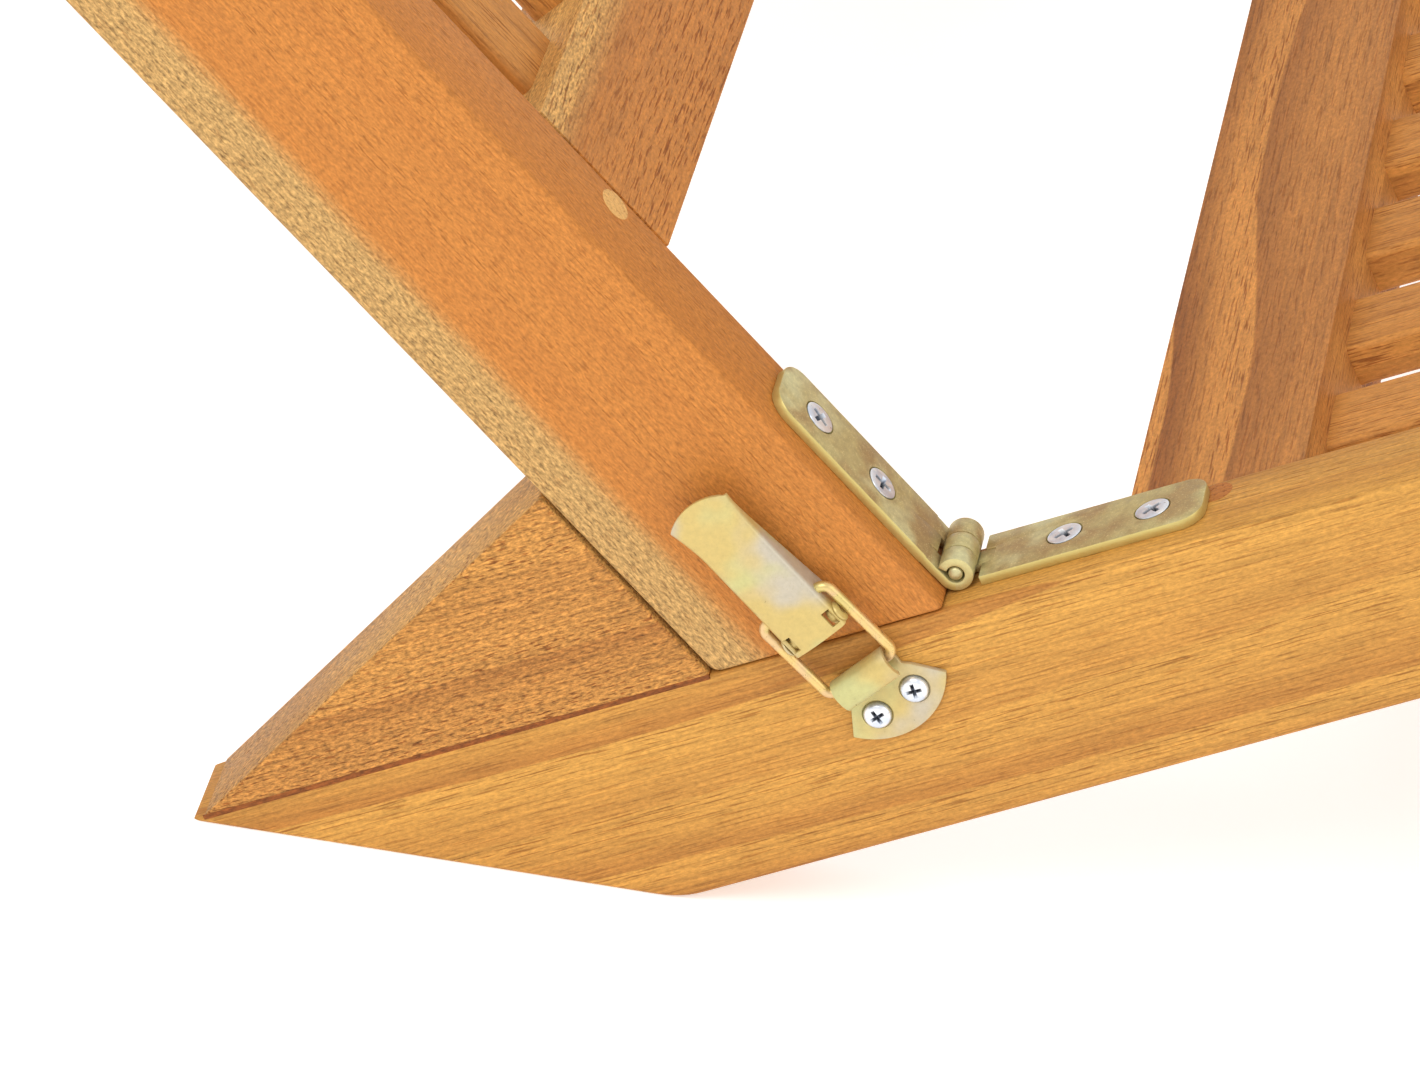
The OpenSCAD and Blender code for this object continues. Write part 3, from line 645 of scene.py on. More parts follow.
def side_board(node, place, side, material, body, ease, name, seed, across=(0, 0, -1),
               along=(0, 1, 0), soften=0.0, least=10.0, most=40.0, painted_top_light=None):
    """A rail, stile, wedge or leg: its side outline, sawn to thickness, edges eased."""
    low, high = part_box(node)
    x_low, x_high = sorted((abs(low.x) / MM, abs(high.x) / MM))
    at_x = x_high if side == "left" else -x_high
    outline = side_outline(node, place, at_x)
    if soften:
        outline = softened(outline, soften, least, most)
    flat = plate_from(outline, x_high - x_low, x_low)
    stand_on_edge(flat)
    ease_edges(flat, ease, 3)
    set_grain(flat, Vector(along), Vector(across), Vector((-1, 0, 0)),
              (seed, 0.0, x_high * MM + (0.0 if side == "right" else DEEPER_IN_THE_LOG)))
    # painted light: faces that look upwards are marked to be painted paler
    if painted_top_light:
        flat.normal_update()
        mark = flat.faces.layers.float.new("painted_top_light")
        for face in flat.faces:
            face[mark] = 1.0 if painted_top_light(face.normal) else 0.0
    put_in_place(flat, place, side)
    return finished(name, flat, material, body, [node], sharp=40.0)


def faces_lit_from_above(normal):
    """The wedge's sloping top looks upwards and is painted paler than its other faces, as painted light from
    above.
    """
    return abs(normal.x) < 0.6 and normal.z > 0.2


# each board starts at its own place along the log
LOG_STARTS = {"right": (0.13, 2.31, 4.27, 6.13), "left": (1.9, 3.7, 5.9, 7.9)}

for side in SIDES:
    rail_at, wedge_at, stile_at, leg_at = LOG_STARTS[side]
    side_board(f"rail_{side}", SEAT, side, rail_wood, "seat_frame", 1.3, f"side_rail_{side}", rail_at,
               soften=22.0)
    side_board(f"heel_wedge_{side}", SEAT, side, wedge_wood, "seat_frame", 1.0, f"wedge_{side}",
               wedge_at, across=(0, 0, 1), painted_top_light=faces_lit_from_above)
    side_board(f"stile_{side}", BACK, side, stile_wood, "backrest", 1.4, f"back_stile_{side}", stile_at,
               soften=3.4, least=15.0, most=75.0)
    side_board(f"front_leg_{side}", LEGS, side, rail_wood, "front_legs", 2.2, f"leg_{side}", leg_at,
               across=(0, 1, 0), along=(0, 0, 1))


def glue_bead(side):
    """The dark line of glue between the rail and its wedge, on both faces."""
    outline = side_outline(f"heel_wedge_{side}", SEAT, half_width if side == "left" else -half_width)
    joint = [y for y, z in outline if abs(z) < 0.05]
    beads = []
    for face, way, short in ((half_width, 1, 0.4), (inner_half, -1, 3.0)):
        y_low, y_high = min(joint) + short, max(joint) - short
        ring = [(face - way * 1.4, 0.0), (face - way * 0.17, -0.66), (face - way * 0.03, -0.1),
                (face - way * 0.10, 0.58)]
        bead = bmesh.new()
        ends = [[bead.verts.new((x, y, z)) for x, z in ring] for y in (y_low, y_high)]
        for k in range(4):
            n = (k + 1) % 4
            bead.faces.new((ends[0][k], ends[0][n], ends[1][n], ends[1][k]))
        bead.faces.new(ends[0])
        bead.faces.new(ends[1][::-1])
        face_outwards(bead)
        beads.append(bead)
    line = merged(*beads)
    set_grain(line, Vector((0, 1, 0)), Vector((0, 0, 1)), Vector((-1, 0, 0)))
    put_in_place(line, SEAT, side)
    return finished(f"glue_line_{side}", line, dark_glue, "seat_frame", sharp=20)


for side in SIDES:
    glue_bead(side)


CROSS_EASE = 1.6


def cross_board(node, place, material, body, reach, name, seed, across_y=True):
    """A cross rail: a plain board between the two sides, with its long edges eased."""
    spots = [into(place) @ v.co for v in frame["nodes"][node].data.vertices]
    spots = [p for p in spots if abs(p.x) < reach + 0.01]
    y_low, y_high = min(p.y for p in spots), max(p.y for p in spots)
    z_low, z_high = min(p.z for p in spots), max(p.z for p in spots)
    board = plate_from([(y_low, z_low), (y_high, z_low), (y_high, z_high), (y_low, z_high)],
                       2 * reach, -reach)
    stand_on_edge(board)
    ease_edges(board, CROSS_EASE, 3, keep=lambda e: abs(abs(e.verts[0].co.x) - reach) < 0.01
               and abs(abs(e.verts[1].co.x) - reach) < 0.01)
    across = Vector((0, 1, 0)) if across_y else Vector((0, 0, 1))
    through = Vector((0, 0, 1)) if across_y else Vector((0, 1, 0))
    middle = Vector((0, (y_low + y_high) / 2, (z_low + z_high) / 2))
    set_grain(board, Vector((1, 0, 0)), across, through,
              (seed, 0.02 - middle.dot(across) * MM, -middle.dot(through) * MM))
    put_in_place(board, place)
    return finished(name, board, material, body, [node], sharp=40.0)


for frame_part, place, finish, body, ends in (
        ("seat", SEAT, seat_cross_wood, "seat_frame", (("rear", 8.1), ("front", 9.4))),
        ("back", BACK, cross_wood, "backrest", (("bottom", 10.6), ("top", 11.8)))):
    for end, seed in ends:
        cross_board(f"{frame_part}_{end}_cross_rail", place, finish, body, inner_half,
                    f"{frame_part}_cross_rail_{end}", seed)
leg_inner = min(abs(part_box("front_leg_left")[0].x), abs(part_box("front_leg_left")[1].x)) / MM
cross_board("leg_crossbar", LEGS, rail_wood, "front_legs", leg_inner, "leg_spreader", 12.9,
            across_y=False)


# ---------------------------------------------------------------- repeated pieces, grown by node trees

def shape_tree(name, sizes):
    """A geometry tree with named inputs; returns the tree, its inputs and its end node."""
    tree = bpy.data.node_groups.new(name, "GeometryNodeTree")
    tree.interface.new_socket("Geometry", in_out="INPUT", socket_type="NodeSocketGeometry")
    for label, kind, value in sizes:
        made = tree.interface.new_socket(label, in_out="INPUT", socket_type=kind)
        if value is not None:
            made.default_value = value
    tree.interface.new_socket("Geometry", in_out="OUTPUT", socket_type="NodeSocketGeometry")
    return tree, tree.nodes.new("NodeGroupInput").outputs, tree.nodes.new("NodeGroupOutput").inputs


def close_tree(tree, shape, finish, end):
    """Every tree ends by making its instances real and giving them their material."""
    real = put(tree, "GeometryNodeRealizeInstances", {"Geometry": shape})
    done = put(tree, "GeometryNodeSetMaterial", {"Geometry": real.outputs[0], "Material": finish})
    tree.links.new(done.outputs[0], end[0])


def grown(name, tree, values, start, material, body, replaces=(), sharp=32.0):
    """Runs a tree on a start mesh once, and keeps the result as a plain mesh."""
    holder = shown(name + "_holder", start)
    grow = holder.modifiers.new("grow", "NODES")
    grow.node_group = tree
    for item in tree.interface.items_tree:
        if item.item_type == "SOCKET" and item.in_out == "INPUT" and item.name in values:
            grow[item.identifier] = values[item.name]
    graph = bpy.context.evaluated_depsgraph_get()
    mesh = bpy.data.meshes.new_from_object(holder.evaluated_get(graph), preserve_all_data_layers=True,
                                           depsgraph=graph)
    holder.modifiers.remove(grow)
    bpy.data.objects.remove(holder)
    return finished_mesh(name, mesh, material, body, replaces, sharp)


def spots_mesh(name, spots):
    """Loose points; each spot is (place, direction it faces)."""
    mesh = bpy.data.meshes.new(name)
    mesh.from_pydata([tuple(p) for p, _ in spots], [], [])
    facing = mesh.attributes.new("facing", "FLOAT_VECTOR", "POINT")
    for i, (_, way) in enumerate(spots):
        facing.data[i].vector = tuple(way)
    return mesh


def make_slat_tree():
    """A row of slats side by side, with rounded long edges, each from its own place in the log."""
    tree, given, end = shape_tree("slat_row", [
        ("Slats", "NodeSocketInt", 11), ("Pitch", FLOAT, 0.0437), ("Slat width", FLOAT, 0.024),
        ("Slat thickness", FLOAT, 0.010), ("Slat length", FLOAT, 0.4), ("Edge radius", FLOAT, 0.0016),
        ("Seed", "NodeSocketInt", 3), ("Material", "NodeSocketMaterial", None)])
    t = tree
    section = put(t, "GeometryNodeCurvePrimitiveQuadrilateral",
                  {"Width": given["Slat width"], "Height": given["Slat thickness"]})
    rounded = put(t, "GeometryNodeFilletCurve", {"Curve": section.outputs[0], "Radius": given["Edge radius"],
                                                 "Count": 4}, mode="POLY")
    top = put(t, "ShaderNodeCombineXYZ", {"Y": given["Slat length"]})
    spine = put(t, "GeometryNodeCurvePrimitiveLine", {"Start": (0, 0, 0), "End": top.outputs[0]})
    bar = put(t, "GeometryNodeCurveToMesh", {"Curve": spine.outputs[0], "Profile Curve": rounded.outputs[0],
                                            "Fill Caps": True})
    where = put(t, "GeometryNodeInputPosition")
    swap = put(t, "ShaderNodeSeparateXYZ", {0: where.outputs[0]})
    order = put(t, "ShaderNodeCombineXYZ", {"X": swap.outputs[1], "Y": swap.outputs[0], "Z": swap.outputs[2]})
    keep = put(t, "GeometryNodeStoreNamedAttribute", {"Geometry": bar.outputs[0], "Name": "grain",
                                                      "Value": order.outputs[0]},
               data_type="FLOAT_VECTOR", domain="POINT")
    step = put(t, "ShaderNodeCombineXYZ", {"X": given["Pitch"]})
    row = put(t, "GeometryNodeMeshLine", {"Count": given["Slats"], "Offset": step.outputs[0]}, mode="OFFSET")
    laid = put(t, "GeometryNodeInstanceOnPoints", {"Points": row.outputs[0], "Instance": keep.outputs[0]})
    shift = put(t, "FunctionNodeRandomValue", {"Min": (0.0, -0.05, -0.02), "Max": (9.0, 0.03, 0.02),
                                               "Seed": given["Seed"]}, data_type="FLOAT_VECTOR")
    offset = put(t, "GeometryNodeStoreNamedAttribute", {"Geometry": laid.outputs[0], "Name": "shift",
                                                        "Value": shift.outputs[0]},
                 data_type="FLOAT_VECTOR", domain="INSTANCE")
    real = put(t, "GeometryNodeRealizeInstances", {"Geometry": offset.outputs[0]})
    own = put(t, "GeometryNodeInputNamedAttribute", {"Name": "grain"}, data_type="FLOAT_VECTOR")
    moved = put(t, "GeometryNodeInputNamedAttribute", {"Name": "shift"}, data_type="FLOAT_VECTOR")
    total = put(t, "ShaderNodeVectorMath", {0: own.outputs[0], 1: moved.outputs[0]}, operation="ADD")
    final = put(t, "GeometryNodeStoreNamedAttribute", {"Geometry": real.outputs[0], "Name": "grain",
                                                       "Value": total.outputs[0]},
                data_type="FLOAT_VECTOR", domain="POINT")
    close_tree(t, final.outputs[0], given["Material"], end)
    return tree


slat_tree = make_slat_tree()


def slat_row(name, nodes, place, body, seed):
    """A row of slats as wide, thick, long and far apart as the CAD ones."""
    boxes = []
    for n in nodes:
        spots = [into(place) @ v.co for v in frame["nodes"][n].data.vertices]
        boxes.append((Vector(map(min, zip(*spots))), Vector(map(max, zip(*spots)))))
    boxes.sort(key=lambda b: b[0].x)
    low, high = boxes[0]
    pitch = boxes[1][0].x - low.x
    row = grown(name, slat_tree, {
        "Slats": len(nodes), "Pitch": pitch * MM, "Slat width": (high.x - low.x) * MM,
        "Slat thickness": (high.z - low.z) * MM, "Slat length": (high.y - low.y) * MM,
        "Seed": seed, "Material": slat_wood},
        bpy.data.meshes.new(name + "_start"), slat_wood, body, nodes, sharp=40.0)
    middle = Vector(((low.x + high.x) / 2, low.y, (low.z + high.z) / 2))
    row.data.transform(Matrix.Scale(MM, 4) @ place @ Matrix.Translation(middle) @ Matrix.Scale(1 / MM, 4))
    return row


slat_count = sum(1 for n in frame["nodes"] if n.startswith("back_slat_"))
slat_row("seat_slat_row", [f"seat_slat_{i}" for i in range(1, slat_count + 1)], SEAT, "seat_frame", 4)
slat_row("back_slat_row", [f"back_slat_{i}" for i in range(1, slat_count + 1)], BACK, "backrest", 11)


QUARTER_TURN = 1.5708


def make_fastener_tree():
    """Sets one made fastener at every point, turned to face its way and by a random amount."""
    tree, given, end = shape_tree("set_fasteners", [
        ("Fastener", "NodeSocketObject", None), ("Size", FLOAT, 1.0), ("Proud by", FLOAT, 0.0),
        ("Seed", "NodeSocketInt", 1), ("Most turn", FLOAT, QUARTER_TURN),
        ("Material", "NodeSocketMaterial", None)])
    t = tree
    model = put(t, "GeometryNodeObjectInfo", {"Object": given["Fastener"]}, transform_space="ORIGINAL")
    way = put(t, "GeometryNodeInputNamedAttribute", {"Name": "facing"}, data_type="FLOAT_VECTOR")
    aim = put(t, "FunctionNodeAlignRotationToVector", {"Vector": way.outputs[0]}, axis="Z")
    spin = put(t, "FunctionNodeRandomValue", {2: 0.0, 3: given["Most turn"], "Seed": given["Seed"]},
               data_type="FLOAT")
    twist = put(t, "FunctionNodeAxisAngleToRotation", {"Axis": (0, 0, 1), "Angle": spin.outputs[1]})
    turn = put(t, "FunctionNodeRotateRotation", {0: aim.outputs[0], 1: twist.outputs[0]},
               rotation_space="LOCAL")
    lift = put(t, "ShaderNodeVectorMath", {0: way.outputs[0], "Scale": given["Proud by"]}, operation="SCALE")
    raised = put(t, "GeometryNodeSetPosition", {"Geometry": given["Geometry"], "Offset": lift.outputs[0]})
    points = put(t, "GeometryNodeMeshToPoints", {"Mesh": raised.outputs[0]})
    whole = put(t, "ShaderNodeCombineXYZ", {"X": given["Size"], "Y": given["Size"], "Z": given["Size"]})
    placed = put(t, "GeometryNodeInstanceOnPoints", {
        "Points": points.outputs[0], "Instance": model.outputs["Geometry"],
        "Rotation": turn.outputs[0], "Scale": whole.outputs[0]})
    close_tree(t, placed.outputs[0], given["Material"], end)
    return tree


fastener_tree = make_fastener_tree()


def cross_cutter(across, wing, depth, height):
    """A tapered cross that a screwdriver fits."""
    shape = bmesh.new()
    rings = []
    for z, reach, width in ((height + 1.0, across * 1.12, wing * 1.05), (height, across, wing),
                            (height - depth * 0.6, across * 0.62, wing * 0.8),
                            (height - depth, wing * 0.56, wing * 0.5)):
        r, w = reach / 2, width / 2
        r = max(r, w * 1.05)
        outline = [(r, -w), (r, w), (w, w), (w, r), (-w, r), (-w, w), (-r, w), (-r, -w), (-w, -w),
                   (-w, -r), (w, -r), (w, -w)]
        rings.append([shape.verts.new((x, y, z)) for x, y in outline])
    for low, high in zip(rings[1:], rings):
        for k in range(12):
            n = (k + 1) % 12
            shape.faces.new((low[k], low[n], high[n], high[k]))
    shape.faces.new(rings[0])
    shape.faces.new(rings[-1][::-1])
    face_outwards(shape)
    return shape


def model_of(name, shape):
    """A fastener to be set out by the tree; it is thrown away afterwards."""
    shape.transform(Matrix.Scale(MM, 4))
    return shown(name, taken(shape, name))


def set_out(name, model, spots, material, body, replaces, seed, keep=False):
    """Sets a model out on its spots as one piece; keep leaves the model for another row."""
    piece = grown(name, fastener_tree, {"Fastener": model, "Size": 1.0, "Proud by": 0.0, "Seed": seed,
                                        "Most turn": QUARTER_TURN, "Material": material},
                  spots_mesh(name + "_spots", spots), material, body, replaces)
    if not keep:
        bpy.data.objects.remove(model)
    return piece


def both(place, spots, facing):
    """Spots drawn for the left side in millimetres, on both sides, in metres."""
    found = []
    for spot in spots:
        at = (place @ Vector(spot)) * MM
        way = (place.to_3x3() @ Vector(facing)).normalized()
        found.append((at, way))
        found.append((Vector((-at.x, at.y, at.z)), Vector((-way.x, way.y, way.z))))
    return found


def driven(body, across, wing, depth, height):
    """Cuts the driver's cross into a screw head and marks the inside of it as recess, to be darkened as
    painted shade.
    """
    screw = carved(body, cross_cutter(across, wing, depth, height))
    # painted shade: the points deep inside the cross are marked for the dark tint
    mark = screw.verts.layers.float.new("recess")
    for v in screw.verts:
        inside = height - depth - 0.1 < v.co.z < height - 0.2 and math.hypot(v.co.x, v.co.y) < across / 2
        v[mark] = 1.0 if inside else 0.0
    return screw


def countersunk_screw():
    """A wood screw, its head level with z = 0."""
    body = turned([(0, -24), (0.5, -23.2), (1.4, -20.5), (1.75, -19), (1.75, -2.6), (2.1, -2.25),
                   (3.72, -0.34), (3.84, -0.16), (3.8, -0.04), (3.5, 0.02), (2.0, 0.05), (0, 0.05)], 36)
    return driven(body, 4.7, 1.1, 2.0, 0.06)


def pan_screw():
    """A small screw whose round head sits in the dent of the catch plate."""
    body = turned([(0, -14), (0.5, -13.4), (1.2, -11.5), (1.45, -10), (1.45, -0.9), (1.6, -0.64),
                   (2.9, -0.64), (3.02, 0.18), (3.0, 0.62), (2.82, 0.98), (2.45, 1.24), (1.9, 1.38),
                   (1.0, 1.44), (0, 1.45)], 36)
    return driven(body, 3.7, 0.85, 1.2, 1.46)


LEAF = 2.3                       # sheet of the hinge leaves
SCREWS_AT = (23.0, 43.0)         # from the pin
LEAF_WIDE = 18.0
SCREW_TOP = 2.42                 # the screw heads stand a hair proud of the leaf
hinge_spots = [(LEAF_WIDE / 2, at, SCREW_TOP) for at in SCREWS_AT]
head = model_of("countersunk", countersunk_screw())
set_out("hinge_screws_on_stiles", head, both(HINGE_BACK, hinge_spots, (0, 0, 1)), screw_plating, "backrest",
        ["hinge_screws_back"], seed=5, keep=True)
set_out("hinge_screws_on_rails", head, both(HINGE_SEAT, hinge_spots, (0, 0, 1)), screw_plating, "seat_frame",
        ["hinge_screws_seat"], seed=8)

SHEET = 1.2                      # sheet of the latch's fixed plates
CATCH_SCREWS_S = -9.75
CATCH_SCREW_PITCH = 10.6
catch_spots = [(SHEET, CATCH_SCREWS_S, z * CATCH_SCREW_PITCH / 2) for z in (-1, 1)]
set_out("catch_screw_set", model_of("pan", pan_screw()), both(LATCH, catch_spots, (1, 0, 0)), screw_plating,
        "seat_frame", ["catch_screws"], seed=2)


def dowel_model(d, length):
    """A dowel with its top end slightly domed, a hair over the board."""
    r = d / 2
    return model_of("dowel", turned([(0, -length), (r - 0.3, -length), (r, -length + 0.4), (r, -0.35),
                                     (r - 0.22, 0.05), (r * 0.5, 0.16), (0, 0.2)], 32))


def dowel_grain(piece, place):
    """Dowels show end grain, turned a little differently on each."""
    layer = piece.data.attributes.new("grain", "FLOAT_VECTOR", "POINT")
    for i, v in enumerate(piece.data.vertices):
        p = into(place) @ v.co
        layer.data[i].vector = (p.z * MM, p.x * MM, p.y * MM)


STILE_END, RAIL_END = 720.0, 461.791       # from the corner to the far ends of stile and rail
END_INSET = 6.0                            # of a cross rail from the end of its side board
CROSS_HALF = 20.0
BACK_DOWELS = (109.0, STILE_END - END_INSET - CROSS_HALF)
SEAT_DOWELS = (-59.0, -(RAIL_END - END_INSET - CROSS_HALF))
DOWEL_X = half_width - 20.0
for name, place, rows, finish, body, node, seed in (
        ("back_dowel_set", BACK, BACK_DOWELS, dowel_pale, "backrest", "back_dowels", 3),
        ("seat_dowel_set", SEAT, SEAT_DOWELS, dowel_dark, "seat_frame", "seat_dowels", 6)):
    pins = set_out(name, dowel_model(8.0, 34.0), both(place, [(DOWEL_X, y, 0.0) for y in rows], (0, 0, 1)),
                   finish, body, [node], seed)
    dowel_grain(pins, place)


# ---------------------------------------------------------------- strap hinge

KNUCKLE = 3.9                    # outer radius
KNUCKLE_GAP = 0.15               # each knuckle stops this far short of its third
PIN_R = 1.55
CURL_SHEET = 1.9
THIRD = LEAF_WIDE / 3
FLAT_FROM = 7.0                  # the leaf is flat from here on


def on_fold(edge):
    """Edges where the flat leaf goes over into a knuckle stay sharp."""
    return all(abs(v.co.y - FLAT_FROM) < 0.01 for v in edge.verts)


def curl_path():
    """The line down the middle of a knuckle's sheet, from the flat leaf round the pin."""
    mid = KNUCKLE - CURL_SHEET / 2
    path = [(FLAT_FROM, LEAF / 2), (5.4, LEAF / 2), (3.6, LEAF / 2 - 0.05), (2.0, PIN_ABOVE - mid + 0.02)]
    for k in range(25):
        a = math.radians(-90 - k * 300 / 24)
        path.append((mid * math.cos(a), PIN_ABOVE + mid * math.sin(a)))
    return path


def hinge_leaf(own):
    """A leaf with its pin along X at height PIN_ABOVE over Y = 0; own lists the thirds it curls."""
    end, r, steps = 55.0, 5.4, 9
    rim = []
    for middle, first in ((LEAF_WIDE - r, 0), (r, 90)):
        for k in range(steps + 1):
            a = math.radians(first + 90 * k / steps)
            rim.append((middle + r * math.cos(a), end - r + r * math.sin(a) * 0.98))
    foot = []
    for k in range(3):
        way, at = (1, FLAT_FROM) if k in own else (-1, KNUCKLE + 0.55)
        foot += [(k * THIRD + way * (KNUCKLE_GAP if k else 0), at),
                 ((k + 1) * THIRD - way * (KNUCKLE_GAP if k < 2 else 0), at)]
    outline = foot + rim
    apart = [p for i, p in enumerate(outline) if math.dist(p, outline[i - 1]) > 0.01]
    plate = plate_from(apart, LEAF)
    ease_edges(plate, 0.28, 2, keep=on_fold, least=50)
    sinks = []
    for at in SCREWS_AT:
        sink = turned([(0, -1.0), (1.9, -1.0), (1.9, 0.1), (4.15, 1.95), (4.32, 3.2), (0, 3.2)], 36)
        sink.transform(Matrix.Translation((LEAF_WIDE / 2, at, 0)))
        sinks.append(sink)
    plate = carved(plate, *sinks)
    for k in own:
        knuckle = strip_along(curl_path(), CURL_SHEET, k * THIRD + (KNUCKLE_GAP if k else 0.0),
                              (k + 1) * THIRD - (KNUCKLE_GAP if k < 2 else 0.0))
        ease_edges(knuckle, 0.2, 2, keep=on_fold, least=50)
        plate = merged(plate, knuckle)
    # the sawn edges of the sheet and the ends of the knuckles carry the brighter plating
    plate.normal_update()
    mark = plate.faces.layers.float.new("edge")
    for face in plate.faces:
        middle = face.calc_center_median()
        outer = not 1.0 < middle.x < LEAF_WIDE - 1.0
        sawn = (outer and abs(face.normal.x) > 0.6) or (middle.y > FLAT_FROM and abs(face.normal.z) < 0.5)
        face[mark] = (1.0 if middle.z < LEAF + 0.01 else 0.5) if sawn else 0.0
    return plate


for side in SIDES:
    for node, own, place, body in (("hinge_leaf_back_", (0, 2), HINGE_BACK, "backrest"),
                                   ("hinge_leaf_seat_", (1,), HINGE_SEAT, "seat_frame")):
        leaf = hinge_leaf(own)
        put_in_place(leaf, place, side)
        finished(f"strap_{node}{side}", leaf, hinge_plating, body, [node + side], sharp=38)

pins = []
for side in SIDES:
    pin = turned([(0, -0.1), (0.8, -0.05), (1.3, 0.15), (PIN_R, 0.5), (PIN_R, 17.5), (1.3, 17.85),
                  (0.8, 18.05), (0, 18.1)], 28)
    pin.transform(Matrix.Translation((0, 0, PIN_ABOVE)) @ Matrix.Rotation(math.radians(90), 4, "Y"))
    put_in_place(pin, HINGE_BACK, side)
    pins.append(pin)
finished("hinge_pin_pair", merged(*pins), hinge_plating, "seat_frame", ["hinge_pins"],
         sharp=50)


# ---------------------------------------------------------------- toggle latch

# places in the latch's frame: S runs up the stile from the corner, D stands out of its side face
PIVOT_S, PIVOT_D = 15.5, 5.0
BAIL_S, BAIL_D = 22.5, 5.2
LEVER_WIDE = 15.4
LEVER_SHEET = 0.9
CHEEK_OUT = LEVER_WIDE / 2 - 0.6           # outer face of a cheek
LEVER_TOP = PIVOT_D + 2.6
WIRE = 2.4
BAIL_HALF = LEVER_WIDE / 2 + WIRE / 2 + 0.3
BAR_S = 0.5
BAR_PLAY = 1.05
HOOK_R = WIRE / 2 + BAR_PLAY               # inner radius of the hook
BAR_D = SHEET + HOOK_R
HOOK_S = BAR_S - (BAR_PLAY - 0.1)
TONGUE_HALF = BAIL_HALF - WIRE / 2 - 0.7


def lever_skin():
    """The pressed lever: crowned face, rolled shoulders, cheeks that run out into the thumb tab."""
    foot, tip = PIVOT_S - 2.5, PIVOT_S + 39.0
    tab_from = tip - 11.0
    stations = [foot, foot + 0.5, foot + 1.2]
    stations += [foot + 1.9 + k * 0.62 for k in range(8)]
    stations += [foot + 7.6 + k * (tab_from - foot - 7.6) / 10 for k in range(11)]
    stations += [tab_from + (tip - tab_from) * k / 9 for k in range(1, 10)]
    arc_r = 13.2                 # the tip is the arc of a circle
    columns = 24                 # across the strip: cheek 4, shoulder 3, face 11, shoulder 3, cheek 4, less 1
    shape = bmesh.new()
    rows = []
    for s in stations:
        run = max(0.0, min(1.0, (s - PIVOT_S - 6) / (tip - 3.0 - PIVOT_S - 6)))
        cheek = (1 - run) * (LEVER_TOP - 2.2) + run * 0.5
        if s < PIVOT_S:
            cheek = min(cheek, LEVER_TOP - 1.35 - PIVOT_D + math.sqrt(3.7 ** 2 - (s - PIVOT_S) ** 2))
        flare = max(0.0, (s - tab_from) / (tip - tab_from))
        half = CHEEK_OUT + 0.9 * flare ** 1.5
        lift = 0.9 * flare ** 1.4
        crown = 0.45 * (1 - 0.6 * flare)
        shoulder = 1.35 if s > foot + 0.3 else 1.2
        row = []
        # cheek, shoulder, face, shoulder, cheek, from -Z to +Z
        for share in (0.0, 0.35, 0.7, 1.0):
            row.append((LEVER_TOP - shoulder - cheek * (1 - share), -half))
        for a in (22.5, 45, 67.5):
            row.append((LEVER_TOP - shoulder + shoulder * math.sin(math.radians(a)),
                        -half + shoulder * (1 - math.cos(math.radians(a)))))
        inner = half - shoulder
        for k in range(11):
            z = -inner + 2 * inner * k / 10
            row.append((LEVER_TOP + crown * (1 - (z / inner) ** 2), z))
        row += [(d, -z) for d, z in reversed(row[:7])]
        rows.append([(d + lift * (0.35 + 0.65 * (z / half) ** 2), s, z) for d, z in row])
    # towards the round tip the corners stop short of the middle
    made = []
    for row in rows:
        line = []
        for d, s, z in row:
            if s > foot + 12:
                reach = tip - arc_r + math.sqrt(max(arc_r ** 2 - z * z, 1.0))
                s = foot + (s - foot) * (reach - foot) / (tip - foot)
            line.append(shape.verts.new((d, s, z)))
        made.append(line)
    for i in range(len(made) - 1):
        middle = (stations[i] + stations[i + 1]) / 2
        for j in range(columns):
            # an open oblong slot on each fold, close to the foot
            if foot + 1.2 < middle < foot + 5.0 and min(j, columns - 1 - j) in (5, 6, 7):
                continue
            shape.faces.new((made[i][j], made[i][j + 1], made[i + 1][j + 1], made[i + 1][j]))
    bmesh.ops.delete(shape, geom=[v for v in shape.verts if not v.link_faces], context="VERTS")
    bmesh.ops.recalc_face_normals(shape, faces=shape.faces[:])
    top = Vector((LEVER_TOP, 32, 0))
    if min(shape.faces, key=lambda f: (f.calc_center_median() - top).length).normal.x < 0:
        bmesh.ops.reverse_faces(shape, faces=shape.faces[:])
    # give the sheet its thickness inwards, then break its edges
    work = shown("lever", taken(shape, "lever"))
    solid = work.modifiers.new("sheet", "SOLIDIFY")
    solid.thickness, solid.offset, solid.use_even_offset = LEVER_SHEET, -1.0, True
    soft = work.modifiers.new("soft", "BEVEL")
    soft.width, soft.segments, soft.limit_method, soft.angle_limit = 0.16, 2, "ANGLE", math.radians(50)
    return settled(work)


